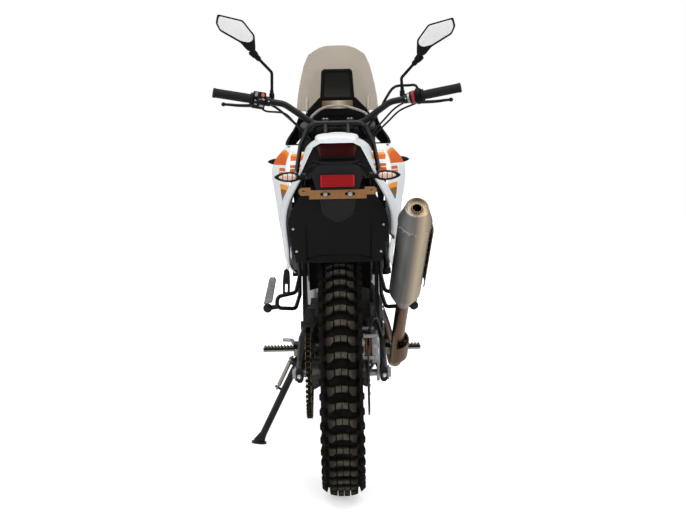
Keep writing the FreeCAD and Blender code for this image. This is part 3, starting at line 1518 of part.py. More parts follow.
def front_caliper():
    """Two-piston caliper bolted behind the left leg."""
    body = block(-84, -40, -96, -30, 20, 110)
    carrier = block(-94, -72, -60, 12, 24, 64)
    slot = cross_rod(FORK_OFFSET + AXLE_LEAD, 0, FRONT_DISC_X - 4, FRONT_DISC_X + 4,
                     FRONT_DISC_R + 6)
    leg = rod(Vector(-FORK_SPACING, FORK_OFFSET, -50), Vector(-FORK_SPACING, FORK_OFFSET, 200),
              LUG_R + SEAT_GAP)
    return on_steering(fused([body, carrier]).cut(slot).cut(leg))


# Side stand

def stand_axes():
    """Directions of the leg down, of the leg folded, and of the pivot bolt."""
    foot = Vector(STAND_FOOT_X, STAND_FOOT_Y, ground_z(STAND_FOOT_X))
    down = foot - STAND_PIVOT
    down.normalize()
    folded = Vector(STAND_FOLDED)
    folded.normalize()
    bolt = down.cross(folded)
    bolt.normalize()
    return down, folded, bolt


def side_stand():
    """Leg with its eye on the pivot bolt and a flat foot that lies on the floor."""
    down, folded, bolt = stand_axes()
    eye = rod(STAND_PIVOT - bolt * 8, STAND_PIVOT + bolt * 8, 16)
    foot = Vector(STAND_FOOT_X, STAND_FOOT_Y, ground_z(STAND_FOOT_X))
    neck = stand_neck(down, bolt)
    leg = rod(STAND_PIVOT + down * 24, foot - down * 12, STAND_LEG_R)
    peg = rod(STAND_PIVOT + down * 112, STAND_PIVOT + down * 112 + bolt * 32, 4)
    floor_up = Vector(math.sin(LEAN), 0, math.cos(LEAN))
    pad = rod(foot, foot + floor_up * 7, 24)
    cone = cone_between(foot + floor_up * 6, foot - down * 40, 18, STAND_LEG_R)
    below = block(-600, 600, 0, 1200, -400, 0)
    below.rotate(Vector(0, 0, 0), Vector(0, 1, 0), math.degrees(LEAN))
    below.translate(Vector(-REAR_TREAD_FLAT, 0, 0))
    solid = fused([eye, neck, leg, pad, cone, peg]).cut(below)
    return solid.cut(rod(STAND_PIVOT - bolt * 30, STAND_PIVOT + bolt * 30, 6 + RUNNING_GAP))


def stand_neck(down, bolt):
    """Flat neck of the leg that passes between the bracket's cheeks."""
    side = bolt.cross(down)
    side.normalize()
    corners = [STAND_PIVOT + side * 11 + bolt * 8, STAND_PIVOT - side * 11 + bolt * 8,
               STAND_PIVOT - side * 11 - bolt * 8, STAND_PIVOT + side * 11 - bolt * 8]
    return flat(corners).extrude(down * 34)


def stand_spring():
    """Return spring hooked between the pivot bolt and a peg on the leg."""
    down, folded, bolt = stand_axes()
    top = STAND_PIVOT + bolt * 23
    hook = ring(top - bolt * 2.5, top + bolt * 2.5, 11, 6 + RUNNING_GAP)
    coils = rod(top + down * 10, top + down * 102, 6.5)
    eye = ring(top + down * 112 - bolt * 2.5, top + down * 112 + bolt * 2.5, 9, 4.1)
    neck = rod(top + down * 100, top + down * 105, 3)
    return fused([hook, coils, eye, neck])


def stand_bracket():
    """Clevis on the frame that holds the stand's pivot bolt."""
    down, folded, bolt = stand_axes()
    away = down + folded
    away.normalize()
    cheeks = [rod(STAND_PIVOT + bolt * (side * 8.4), STAND_PIVOT + bolt * (side * 14), 16)
              for side in (1, -1)]
    side = bolt.cross(away)
    side.normalize()
    arms = []
    for s in (1, -1):
        low = STAND_PIVOT + bolt * (s * 8.4)
        corners = [low + side * 14, low - side * 14, low - side * 14 - away * 44,
                   low + side * 14 - away * 44]
        arms.append(flat(corners).extrude(bolt * (s * 5.6)))
    near = STAND_PIVOT - away * 24
    web_corners = [near + side * 14 + bolt * 14, near - side * 14 + bolt * 14,
                   near - side * 14 - bolt * 14, near + side * 14 - bolt * 14]
    web = flat(web_corners).extrude(away * -20)
    pin = rod(STAND_PIVOT - bolt * 18, STAND_PIVOT + bolt * 29, 6)
    return fused(cheeks + arms + [web, pin])


NODES = {
    "frame": frame, "subframe": subframe, "swingarm": swingarm, "shock": shock,
    "engine_case": engine_case, "cylinder_head": cylinder_head, "radiators": radiators,
    "header_pipe": header_pipe, "silencer": silencer, "heat_shields": heat_shields,
    "fuel_tank": fuel_tank, "seat": seat, "front_panels": front_panels,
    "rear_panels": rear_panels, "tail_cover": tail_cover, "tail_light": tail_light,
    "plate_holder": plate_holder, "plate_bracket": plate_bracket, "reflector": reflector,
    "inner_fender": inner_fender, "grab_rack": grab_rack, "rear_signals": rear_signals,
    "front_signals": front_signals, "windscreen": windscreen, "display_tower": display_tower,
    "headlight": headlight, "cowl_sides": cowl_sides, "cowl_frame": cowl_frame,
    "footpegs": footpegs, "foot_controls": foot_controls, "passenger_pegs": passenger_pegs,
    "skid_plate": skid_plate, "chain": chain, "drive_sprocket": drive_sprocket,
    "chain_guard": chain_guard, "rear_axle": rear_axle, "rear_caliper": rear_caliper,
    "rear_tyre": rear_tyre, "rear_rim": rear_rim, "rear_hub": rear_hub,
    "rear_sprocket": rear_sprocket, "rear_disc": rear_disc, "triple_clamps": triple_clamps,
    "fork_tubes": fork_tubes, "fork_legs": fork_legs, "handlebar": handlebar,
    "grips": grips, "hand_controls": hand_controls, "mirrors": mirrors,
    "front_fender": front_fender, "front_caliper": front_caliper,
    "front_axle": front_axle, "front_tyre": front_tyre, "front_rim": front_rim,
    "front_hub": front_hub, "front_disc": front_disc,
    "side_stand": side_stand, "stand_spring": stand_spring,
}


def leaned(shape):
    """Leans a piece onto the side stand, about the line below the machine's middle."""
    placed = shape.copy()
    placed.rotate(Vector(0, 0, 0), Vector(0, 1, 0), -math.degrees(LEAN))
    return placed


def footprint_middle(shapes):
    """Middle of the underside of the box round all pieces."""
    box = FreeCAD.BoundBox()
    for shape in shapes:
        box.add(shape.optimalBoundingBox(False))
    return Vector(box.Center.x, box.Center.y, box.ZMin)


def build():
    """All pieces by name, standing as parked, and the shift that put them there."""
    shapes = {name: leaned(make()) for name, make in NODES.items()}
    shift = footprint_middle(shapes.values()) * -1
    for shape in shapes.values():
        shape.translate(shift)
    return shapes, shift


if __name__ == "__main__":
    os.makedirs("parts", exist_ok=True)
    pieces, _ = build()
    for name, shape in pieces.items():
        shape.exportStep("parts/" + name + ".step")
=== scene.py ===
"""Dual sport motorcycle on its side stand: finishes, detailed pieces, light and camera.

New pieces are worked out in the upright drawing frame in millimetres (x to the rider's
right, y forward of the rear axle, z up from the floor) and then leaned with the machine.
"""
import json
import math

import bmesh
import bpy
import numpy as np
from mathutils import Matrix, Vector


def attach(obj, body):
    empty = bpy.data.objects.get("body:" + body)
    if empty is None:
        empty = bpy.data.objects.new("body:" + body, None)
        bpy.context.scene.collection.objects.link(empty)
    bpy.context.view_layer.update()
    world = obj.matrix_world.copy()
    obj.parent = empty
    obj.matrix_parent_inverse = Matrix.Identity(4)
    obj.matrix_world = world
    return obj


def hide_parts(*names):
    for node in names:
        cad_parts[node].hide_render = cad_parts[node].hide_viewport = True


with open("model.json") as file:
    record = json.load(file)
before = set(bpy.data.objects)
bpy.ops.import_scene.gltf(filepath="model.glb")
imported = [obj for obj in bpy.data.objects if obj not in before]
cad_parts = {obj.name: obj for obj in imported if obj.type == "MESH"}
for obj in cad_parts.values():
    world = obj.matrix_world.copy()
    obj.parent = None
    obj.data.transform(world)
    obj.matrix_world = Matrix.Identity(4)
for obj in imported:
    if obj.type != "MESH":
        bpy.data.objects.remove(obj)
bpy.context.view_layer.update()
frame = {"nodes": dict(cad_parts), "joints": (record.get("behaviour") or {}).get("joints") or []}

nodes = frame["nodes"]

LEAN = math.radians(6.0)
LEAN_TURN = Matrix.Rotation(-LEAN, 4, "Y")
REAR_HUB = np.array([0.0, 0.0, 345.0])
FRONT_HUB = np.array([0.0, 1475.0, 346.264])
CHAIN_X = -92.0
SILENCER_FOOT = np.array([182.0, 186.0, 524.0])
SILENCER_END = np.array([210.0, -250.0, 817.0])
ACROSS = np.array([1.0, 0.0, 0.0])
AHEAD = np.array([0.0, 1.0, 0.0])
UP = np.array([0.0, 0.0, 1.0])
OTHER_SIDE = np.array([-1.0, 1.0, 1.0])


def stand_shift():
    """Where the drawing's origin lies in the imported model: the rear wheel's joint is at the
    leaned axle centre, so the shift is what is left over."""
    joint = next(j for j in frame["joints"] if j["name"] == "rear_wheel_spin")
    return Vector(joint["pos_m"]) - LEAN_TURN @ Vector((0.0, 0.0, 0.345))


SHIFT = stand_shift()


def parked(points):
    """Drawing points (n, 3) in millimetres, leaned by the stand angle and shifted."""
    p = np.asarray(points, float).reshape(-1, 3) * 0.001
    c, s = math.cos(LEAN), math.sin(LEAN)
    return np.column_stack([p[:, 0] * c - p[:, 2] * s + SHIFT.x, p[:, 1] + SHIFT.y,
                            p[:, 0] * s + p[:, 2] * c + SHIFT.z])


# Shapes: each is a pair of points (n, 3) and a list of face arrays

def unit(v):
    """Vectors scaled to length one."""
    v = np.asarray(v, float)
    return v / np.linalg.norm(v, axis=-1, keepdims=True)


def grid_faces(rows, cols, close_rows=False, close_cols=True):
    """Quads between neighbours of a (rows, cols) grid of points, numbered row by row."""
    r, c = np.meshgrid(np.arange(rows if close_rows else rows - 1),
                       np.arange(cols if close_cols else cols - 1), indexing="ij")
    r1, c1 = (r + 1) % rows, (c + 1) % cols
    return np.stack([r * cols + c, r * cols + c1, r1 * cols + c1, r1 * cols + c], -1).reshape(-1, 4)


def loft(rings, closed=False):
    """Surface through rings of points (rings, around, 3), closed around, with end caps unless
    its last ring meets the first."""
    m, k = rings.shape[:2]
    faces = [grid_faces(m, k, closed)]
    if not closed:
        faces += [np.arange(k)[None, ::-1], ((m - 1) * k + np.arange(k))[None]]
    return rings.reshape(-1, 3), faces


def sheet(points):
    """Open surface through a (rows, cols, 3) grid."""
    return points.reshape(-1, 3), [grid_faces(*points.shape[:2], close_cols=False)]


def joined(*shapes):
    """Several shapes as one: each one's face numbers move up by the points before it."""
    starts = np.cumsum([0] + [len(s[0]) for s in shapes[:-1]])
    return (np.vstack([s[0] for s in shapes]),
            [f + start for s, start in zip(shapes, starts) for f in s[1]])


def flipped(shape):
    """Mirror image across the machine's middle plane."""
    return shape[0] * OTHER_SIDE, [f[:, ::-1] for f in shape[1]]


def both(shape):
    return joined(shape, flipped(shape))


def moved(shape, offset):
    return shape[0] + np.asarray(offset, float), shape[1]


def copies(shape, origins, frames):
    """A small shape repeated: its x, y, z follow each frame's three axes from each origin."""
    p, faces = shape
    placed = np.einsum("nk,mkj->mnj", p, frames) + np.asarray(origins, float)[:, None]
    start = (np.arange(len(frames)) * len(p))[:, None, None]
    return placed.reshape(-1, 3), [(f[None] + start).reshape(-1, f.shape[1]) for f in faces]


def around(shape, degrees, centre):
    """Copies of a shape, drawn about the origin at the top, turned forward about a wheel's
    axle by each angle and carried to the axle's centre."""
    a = np.radians(degrees)
    c, s, o, i = np.cos(a), np.sin(a), np.zeros_like(a), np.ones_like(a)
    frames = np.stack([np.stack([i, o, o], -1), np.stack([o, c, -s], -1), np.stack([o, s, c], -1)],
                      1)
    return copies(shape, np.broadcast_to(centre, (len(a), 3)), frames)


def facing(directions):
    """Frames (m, 3, 3) whose last axis is the given direction."""
    d = unit(np.atleast_2d(directions))
    ref = np.where(np.abs(d[:, :1]) > 0.8, AHEAD, ACROSS)
    u = unit(np.cross(ref, d))
    return np.stack([u, np.cross(d, u), d], 1)


def curve(points, per=8):
    """Smooth path through points: between two of them the cubic whose slopes are half the
    difference of the neighbours."""
    p = np.asarray(points, float)
    p = np.vstack([2 * p[0] - p[1], p, 2 * p[-1] - p[-2]])
    s = np.linspace(0, 1, per, endpoint=False)[:, None, None]
    a, b, c, d = p[:-3], p[1:-2], p[2:-1], p[3:]
    q = 0.5 * (2 * b + (c - a) * s + (2 * a - 5 * b + 4 * c - d) * s ** 2
               + (3 * b - a - 3 * c + d) * s ** 3)
    return np.vstack([q.transpose(1, 0, 2).reshape(-1, p.shape[1]), p[-2:-1]])


def bends(points, bend, per=7):
    """Straight runs joined by tangent arcs, each a rational quadratic whose middle weight is
    the cosine of half the turn."""
    p = np.asarray(points, float)
    b = p[1:-1]
    back, ahead = p[:-2] - b, p[2:] - b
    lb, la = (np.linalg.norm(v, axis=1, keepdims=True) for v in (back, ahead))
    half = 0.5 * np.arccos(np.clip(np.sum(back * ahead, 1, keepdims=True) / (lb * la), -1, 1))
    reach = np.minimum(bend / np.tan(half), 0.45 * np.minimum(lb, la))
    first, last, w = b + back / lb * reach, b + ahead / la * reach, np.sin(half)
    t = np.linspace(0, 1, per)[:, None, None]
    arc = (((1 - t) ** 2 * first + 2 * w * t * (1 - t) * b + t ** 2 * last)
           / ((1 - t) ** 2 + 2 * w * t * (1 - t) + t ** 2))
    return np.vstack([p[:1], arc.transpose(1, 0, 2).reshape(-1, 3), p[-1:]])


def tube(path, radius, sides):
    """Round tube: rings of the given radius, square to the path's tangent."""
    path = np.asarray(path, float)
    t = unit(np.gradient(path, axis=0))
    side = unit(np.cross(t, np.eye(3)[np.argmin(np.abs(t).max(0))]))
    up = np.cross(side, t)
    a = np.linspace(0, 2 * np.pi, sides, endpoint=False)[:, None]
    r = np.broadcast_to(np.asarray(radius, float), (len(path),))[:, None, None]
    rings = path[:, None] + r * (side[:, None] * np.cos(a) + up[:, None] * np.sin(a))
    return loft(rings)


def turned(start, direction, profile, sides=24, closed=False):
    """Surface of revolution: (distance, radius) pairs carried round an axis."""
    u, v, d = facing(direction)[0]
    prof = np.asarray(profile, float)[:, :, None, None]
    a = np.linspace(0, 2 * np.pi, sides, endpoint=False)[:, None]
    rings = np.asarray(start, float) + prof[:, 0] * d + prof[:, 1] * (u * np.cos(a) + v * np.sin(a))
    return loft(rings, closed)


def plate(outline, origin, u, v, depth, bevel=0.6):
    """Flat plate with bevelled edges from an outline of (u, v) pairs: its two faces are drawn
    in by the bevel along the mitre of each corner; it grows along u cross v."""
    o = np.asarray(outline, float)
    into, out = unit(o - np.roll(o, 1, 0)), unit(np.roll(o, -1, 0) - o)
    n1, n2 = into[:, ::-1] * [-1, 1], out[:, ::-1] * [-1, 1]
    x, y = o[:, 0], o[:, 1]
    turn = np.sign(np.sum(x * np.roll(y, -1) - y * np.roll(x, -1)))
    mitre = turn * (n1 + n2) / (1 + np.sum(n1 * n2, 1, keepdims=True))
    u, v = np.asarray(u, float), np.asarray(v, float)
    n = np.cross(u, v)
    rings = np.stack([np.asarray(origin, float) + flat[:, :1] * u + flat[:, 1:] * v + n * rise
                      for flat, rise in ((o + mitre * bevel, 0), (o, min(bevel, depth / 2)),
                                         (o, max(depth - bevel, depth / 2)),
                                         (o + mitre * bevel, depth))])
    return loft(rings)


def crosswise(outline, y, depth, bevel=0.6):
    """Plate across the machine from an outline of (x, z) pairs."""
    return plate(outline, (0, y, 0), ACROSS, UP, depth, bevel)


def lengthwise(outline, x, depth, bevel=0.6):
    """Plate along the machine from an outline of (y, z) pairs."""
    return plate(outline, (x, 0, 0), AHEAD, UP, depth, bevel)


def rounded(outline, radius, per=4):
    """Outline with its corners cut by small curves, each a quadratic between two points."""
    o = np.asarray(outline, float)
    back, ahead = np.roll(o, 1, 0) - o, np.roll(o, -1, 0) - o
    lb, la = (np.linalg.norm(v, axis=1, keepdims=True) for v in (back, ahead))
    reach = np.minimum(radius, 0.45 * np.minimum(lb, la))
    t = np.linspace(0, 1, per)[None, :, None]
    f, l = (o + back / lb * reach)[:, None], (o + ahead / la * reach)[:, None]
    return ((1 - t) ** 2 * f + 2 * t * (1 - t) * o[:, None] + t ** 2 * l).reshape(-1, 2)


def oblong(length, height, per=6):
    """Outline with straight sides and round ends, along u."""
    a = np.linspace(-np.pi / 2, np.pi / 2, per)
    r, reach = height / 2, (length - height) / 2
    right = np.column_stack([reach + r * np.cos(a), r * np.sin(a)])
    return np.vstack([right, -right])


def lug(foot, top, edge=0.12):
    """Tread block from its foot outline to its top one, whose edge is rounded off."""
    foot, top = np.asarray(foot, float), np.asarray(top, float)
    middle = top.mean(0)
    return loft(np.stack([foot, foot + (top - foot) * (1 - edge), top + (middle - top) * edge]))


def polar(points):
    """Points given as (x, degrees, radius) about a wheel's axle at the origin, 0 at the top."""
    x, a, r = np.asarray(points, float).T
    return np.column_stack([x, r * np.sin(np.radians(a)), r * np.cos(np.radians(a))])


def hex_heads(places, radius):
    """Hexagon bolt heads on washers; each place is a (point, direction) pair."""
    head = turned((0, 0, 0), UP, [(0.2 * radius, radius), (0.75 * radius, radius),
                                  (0.95 * radius, 0.82 * radius)], 6)
    rim = radius * 1.5
    disc = turned((0, 0, 0), UP, [(-0.3, rim), (0.25 * radius, rim * 0.96)], 14)
    points = np.array([p for p, d in places], float)
    return copies(joined(head, disc), points, facing([d for p, d in places]))


def dome_heads(places, radius):
    """Round screw heads with a socket in the middle; each place is a (point, direction) pair."""
    head = turned((0, 0, 0), UP, [(-0.3, radius), (0.25 * radius, radius),
                                  (0.6 * radius, 0.72 * radius), (0.66 * radius, 0.44 * radius),
                                  (0.2 * radius, 0.4 * radius)], 12)
    points = np.array([p for p, d in places], float)
    return copies(head, points, facing([d for p, d in places]))


def linked(name, data):
    """New object of a mesh, a lamp or a camera, put in the scene."""
    obj = bpy.data.objects.new(name, data)
    bpy.context.scene.collection.objects.link(obj)
    return obj


def piece(name, shape, finish, body="chassis", stands_for=None, smooth=38.0, wall=0.0):
    """New mesh object of a shape: parked, its faces turned outwards, shaded smooth but for
    edges sharper than the angle, with one finish, riding on a body."""
    points, groups = shape
    mesh = bpy.data.meshes.new(name)
    mesh.from_pydata(parked(points).tolist(), [], [f for g in groups for f in g.tolist()])
    work = bmesh.new()
    work.from_mesh(mesh)
    if not wall:
        bmesh.ops.remove_doubles(work, verts=work.verts, dist=1e-6)
    bmesh.ops.recalc_face_normals(work, faces=work.faces)
    work.to_mesh(mesh)
    work.free()
    mesh.polygons.foreach_set("use_smooth", np.ones(len(mesh.polygons), bool))
    mesh.set_sharp_from_angle(angle=math.radians(smooth))
    obj = linked(name, mesh)
    if wall:
        thick = obj.modifiers.new("wall", "SOLIDIFY")
        thick.thickness = wall * 0.001
        thick.offset = 0.0
    mesh.materials.append(FINISHES[finish].material)
    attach(obj, body)
    if stands_for:
        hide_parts(stands_for)
    return obj


# Shader groups: each gives only values, masks or colours

def fill(tree, node, values):
    """A node's inputs, by name or number, set to constants or linked to sockets."""
    for label, value in values.items():
        if isinstance(value, bpy.types.NodeSocket):
            tree.links.new(value, node.inputs[label])
        else:
            node.inputs[label].default_value = value


def add_node(tree, kind, inputs=(), **settings):
    """New shader node of a kind, with its settings and its filled inputs."""
    node = tree.nodes.new("ShaderNode" + kind)
    for label, value in settings.items():
        setattr(node, label, value)
    fill(tree, node, dict(inputs))
    return node


def math_node(tree, operation, *values):
    """Output of a math node whose inputs are sockets or constants."""
    return add_node(tree, "Math", enumerate(values), operation=operation).outputs[0]


def span_node(tree, value, low, high, first=0.0, last=1.0):
    """Value carried from one range to another, held at both ends."""
    return add_node(tree, "MapRange", {"Value": value, "From Min": low, "From Max": high,
                                       "To Min": first, "To Max": last}).outputs[0]


def noise_node(tree, where, scale, **inputs):
    return add_node(tree, "TexNoise", {"Vector": where, "Scale": scale, **inputs}).outputs["Fac"]


def object_place(tree):
    return add_node(tree, "TexCoord").outputs["Object"]


def open_group(name, **inputs):
    """New shader group with float inputs, given with their defaults."""
    group = bpy.data.node_groups.new(name, "ShaderNodeTree")
    for label, default in inputs.items():
        socket = group.interface.new_socket(label, in_out="INPUT", socket_type="NodeSocketFloat")
        socket.default_value = default
    return group, group.nodes.new("NodeGroupInput").outputs


def close_group(group, **results):
    """Float outputs of a group, one linked to each named socket."""
    for label in results:
        group.interface.new_socket(label, in_out="OUTPUT", socket_type="NodeSocketFloat")
    fill(group, group.nodes.new("NodeGroupOutput"), results)
    return group


def grain_group():
    """Fine moulded or cast grain: two noises of the object position, the finer one four
    times denser, added as height; the coarse one also goes out as a variation mask."""
    group, given = open_group("surface_grain", Scale=300.0, Soft=0.5)
    where, scale = object_place(group), given["Scale"]
    coarse = noise_node(group, where, scale, Roughness=given["Soft"])
    fine = noise_node(group, where, math_node(group, "MULTIPLY", scale, 4.0))
    return close_group(group, Height=math_node(group, "ADD", coarse, fine), Mask=coarse)


def dust_group():
    """Road dust: a mask from patchy noise, stronger low down on the machine."""
    group, given = open_group("road_dust", Amount=0.3, Low=0.05, High=0.7)
    where = object_place(group)
    height = add_node(group, "SeparateXYZ", {0: where}).outputs["Z"]
    lower = span_node(group, height, given["High"], given["Low"])
    patch = span_node(group, noise_node(group, where, 38.0, Detail=6.0), 0.42, 0.68)
    product = math_node(group, "MULTIPLY", lower, patch)
    return close_group(group, Mask=math_node(group, "MULTIPLY", product, given["Amount"]))


def brushed_group():
    """Brushed metal: noise of the object position turned about X and stretched along Z."""
    group, given = open_group("brushed_lines", Across=900.0, Along=12.0, Tilt=0.0)
    across = given["Across"]
    turn = add_node(group, "VectorRotate", {"Vector": object_place(group), "Angle": given["Tilt"]},
                    rotation_type="X_AXIS")
    stretch = add_node(group, "CombineXYZ", {"X": across, "Y": across, "Z": given["Along"]})
    scaled = add_node(group, "VectorMath", {0: turn.outputs[0], 1: stretch.outputs[0]},
                      operation="MULTIPLY")
    lines = noise_node(group, scaled.outputs[0], 1.0, Detail=3.0)
    return close_group(group, Height=lines, Mask=lines)


def place_group():
    """Place in the upright drawing, in millimetres, from the object position: less the shift,
    turned back by the lean; also the distance from a wheel's axle at the given Y and Z."""
    group, given = open_group("drawing_place", Axle_Y=0.0, Axle_Z=345.0)
    less = add_node(group, "VectorMath", {0: object_place(group), 1: SHIFT}, operation="SUBTRACT")
    turn = add_node(group, "VectorRotate", {"Vector": less.outputs[0], "Angle": LEAN},
                    rotation_type="Y_AXIS")
    size = add_node(group, "VectorMath", {0: turn.outputs[0], "Scale": 1000.0}, operation="SCALE")
    split = add_node(group, "SeparateXYZ", {0: size.outputs[0]}).outputs
    offsets = [math_node(group, "SUBTRACT", split[axis], given["Axle_" + axis]) for axis in "YZ"]
    squares = math_node(group, "ADD", *[math_node(group, "MULTIPLY", d, d) for d in offsets])
    return close_group(group, X=split["X"], Y=split["Y"], Z=split["Z"],
                       Radius=math_node(group, "SQRT", squares))


GRAIN = grain_group()
DUST = dust_group()
BRUSHED = brushed_group()
PLACE = place_group()


# Materials

WHITE, ORANGE, GOLD = "e6e9ea", "d05f1e", "ee9a2c"
DUST_ON_PLASTIC, DUST_ON_METAL = "6e665c", "6f675e"


def colour(code):
    """Linear RGBA of an sRGB hex code, or of a plain share of white."""
    if isinstance(code, float):
        return (code, code, code, 1.0)
    parts = [int(code[i:i + 2], 16) / 255 for i in (0, 2, 4)]
    line = [c / 12.92 if c <= 0.04045 else ((c + 0.055) / 1.055) ** 2.4 for c in parts]
    return (*line, 1.0)


class Finish:
    """One material with its Principled surface and shortcuts to add nodes to it."""

    def __init__(self, name, **sockets):
        self.material = bpy.data.materials.new(name)
        self.material.use_nodes = True
        self.tree = self.material.node_tree
        self.surface = self.tree.nodes["Principled BSDF"]
        self.set(**sockets)

    def set(self, **sockets):
        """Constants or sockets for the surface's inputs, with _ for a blank in their names."""
        fill(self.tree, self.surface, {n.replace("_", " "): v for n, v in sockets.items()})

    def group(self, tree, **values):
        return add_node(self.tree, "Group", values, node_tree=tree).outputs

    def math(self, operation, *values):
        return math_node(self.tree, operation, *values)

    def span(self, value, *limits):
        return span_node(self.tree, value, *limits)

    def ramp(self, value, stops, steps=False):
        """Colours along a value from 0 to 1, blended or in steps."""
        node = add_node(self.tree, "ValToRGB", {0: value})
        band = node.color_ramp
        band.interpolation = "CONSTANT" if steps else "LINEAR"
        for i, (place, shade) in enumerate(stops):
            stop = band.elements[i] if i < 2 else band.elements.new(place)
            stop.position = place
            stop.color = colour(shade)
        return node.outputs[0]

    def blended(self, mask, first, second):
        """Mix of two colours, each a hex code or a socket."""
        first, second = (colour(c) if isinstance(c, str) else c for c in (first, second))
        return add_node(self.tree, "Mix", {"Factor": mask, 6: first, 7: second},
                        data_type="RGBA").outputs[2]

    def graded(self, mask, low, high):
        """Roughness between two values by a noise mask."""
        self.set(Roughness=self.span(mask, 0.3, 0.7, low, high))

    def bump(self, height, strength, distance):
        node = add_node(self.tree, "Bump",
                        {"Strength": strength, "Distance": distance, "Height": height})
        self.set(Normal=node.outputs[0])


def moulded(name, dark, light, rough, scale, depth, dust=0.1, shine=0.5, pattern=None,
            spread=0.06):
    """Moulded plastic, rubber or paint: mottled colour or a pattern, grain relief, some dust."""
    f = Finish(name, Specular_IOR_Level=shine)
    grain = f.group(GRAIN, Scale=scale)
    tone = f.ramp(grain["Mask"], [(0.35, dark), (0.65, light)])
    if pattern:
        tone = pattern(f, tone)
    f.set(Base_Color=f.blended(f.group(DUST, Amount=dust)["Mask"], tone, DUST_ON_PLASTIC))
    f.graded(grain["Mask"], rough - spread, rough + spread)
    f.bump(grain["Height"], 0.35, depth)
    return f


def metal(name, dark, light, rough, across=900.0, along=12.0, tilt=0.0, depth=0.00003, dust=0.06,
          pattern=None, metallic=1.0):
    """Bare or plated metal with fine drawn lines and patches that are a little duller."""
    f = Finish(name, Metallic=metallic)
    lines = f.group(BRUSHED, Across=across, Along=along, Tilt=tilt)
    patches = f.group(GRAIN, Scale=16.0, Soft=0.6)["Mask"]
    tone = f.ramp(patches, [(0.3, dark), (0.7, light)])
    if pattern:
        tone = pattern(f, tone)
    f.set(Base_Color=f.blended(f.group(DUST, Amount=dust)["Mask"], tone, DUST_ON_METAL))
    f.graded(patches, rough - 0.04, rough + 0.06)
    f.bump(lines["Height"], 0.3, depth)
    return f


# Patterns: each is given a finish and its mottled tone, and gives the colour to use instead

def ramp_along(axis, low, high, stops, steps=False, mirrored=False):
    """Pattern of colours along one axis of the drawing; mirrored, along the distance from
    that axis's zero."""
    def pattern(f, tone):
        at = f.group(PLACE)[axis]
        if mirrored:
            at = f.math("ABSOLUTE", at)
        return f.ramp(f.span(at, low, high), stops, steps)
    return pattern


def two_tone(height, below, above):
    """Pattern of one colour below a height in the drawing and one above it; None is the tone."""
    def pattern(f, tone):
        higher = f.math("GREATER_THAN", f.group(PLACE)["Z"], height)
        return f.blended(higher, below or tone, above or tone)
    return pattern


def panel_stripes(f, tone):
    """Front panel decor by height in the drawing: a white rim along the top edge, which stands
    at 858 mm and up to 130 mm more along y, orange that turns golden towards it, then, on the
    part near the seat, two thin orange bands and gold, brown and teal blocks on white."""
    place = f.group(PLACE)
    y, z = place["Y"], place["Z"]
    rise = f.ramp(f.span(y, 570, 830), [(0.0, 0.0), (0.12, 0.34), (0.31, 0.66), (0.58, 0.86),
                                        (1.0, 0.95)])
    below = f.math("SUBTRACT", f.math("MULTIPLY_ADD", rise, 130.0, 858.0), z)
    blocks = f.ramp(f.span(z, 790, 930),
                    [(0.0, WHITE), (0.12, "467f9c"), (0.22, "875726"), (0.39, GOLD), (0.51, WHITE),
                     (0.72, "df7430"), (0.79, WHITE), (0.81, ORANGE), (0.89, WHITE)], True)
    low = f.blended(f.math("LESS_THAN", y, 782.0), tone, blocks)
    low = f.blended(f.math("GREATER_THAN", z, 914.0), low, WHITE)
    glow = f.ramp(f.span(below, 10, 24), [(0.0, GOLD), (1.0, ORANGE)])
    top = f.blended(f.math("GREATER_THAN", z, 923.0), low, glow)
    return f.blended(f.math("LESS_THAN", below, 10.0), top, WHITE)


def reflector_prisms(f, tone):
    """Reflector: small prisms inside a lighter border."""
    place = f.group(PLACE)
    rim = f.math("GREATER_THAN", f.math("ABSOLUTE", place["X"]), 41.0)
    waves = [f.math("SINE", f.math("MULTIPLY", place[axis], 2.0)) for axis in "XZ"]
    check = f.span(f.math("MULTIPLY", *waves), -0.6, 0.6)
    return f.blended(rim, f.ramp(check, [(0.0, "860108"), (1.0, "9c040b")]), "c4121c")


def tread_painted_shade(axle):
    """Rubber by distance from the axle: painted shade, dark between the blocks, and painted
    light, pale on top.
    """
    def pattern(f, tone):
        radius = f.group(PLACE, Axle_Y=float(axle[1]), Axle_Z=float(axle[2]))["Radius"]
        # Painted shade darkens the rubber low between the blocks; painted light makes the block
        # tops pale
        graded = f.ramp(f.span(radius, 318, 344),
                      [(0.0, "0b0a08"), (0.72, "0e0c0a"), (0.9, "37322b"), (1.0, "4f4942")])
        grit = f.group(GRAIN, Scale=60.0, Soft=0.7)["Mask"]
        return f.blended(f.span(grit, 0.4, 0.66, 0.0, 0.6), graded, "1b1815")
    return pattern


def chain_shades(f, tone):
    """Chain: beige outer plates beside dark oiled rollers and inner plates."""
    aside = f.math("ABSOLUTE", f.math("ADD", f.group(PLACE)["X"], -CHAIN_X))
    wear = f.group(GRAIN, Scale=90.0, Soft=0.6)["Mask"]
    pale = f.blended(f.span(wear, 0.4, 0.64), "8d7a58", "5c4c34")
    return f.blended(f.span(aside, 5.6, 6.2), tone, pale)


def silencer_painted_sheen(f, tone):
    """Silencer steel, cooler on the side towards the wheel and straw coloured outboard, with
    painted highlights and shade across its round body: dark at both edges, a pale grey painted
    highlight towards the wheel, a darker middle and a pale straw painted highlight outboard, by
    the distance across from the silencer's own line."""
    place = f.group(PLACE)
    x, _, z = SILENCER_FOOT
    run_x, _, run_z = SILENCER_END - SILENCER_FOOT
    lean = f.math("MULTIPLY", f.math("SUBTRACT", place["Z"], float(z)), float(run_x / run_z))
    side = f.math("SUBTRACT", f.math("SUBTRACT", place["X"], float(x)), lean)
    return f.ramp(f.span(side, -46, 46),
                  [(0.0, "6b6a68"), (0.3, "a4a5a4"), (0.5, "77716a"), (0.75, "baa88a"),
                   (1.0, "6e6048")])


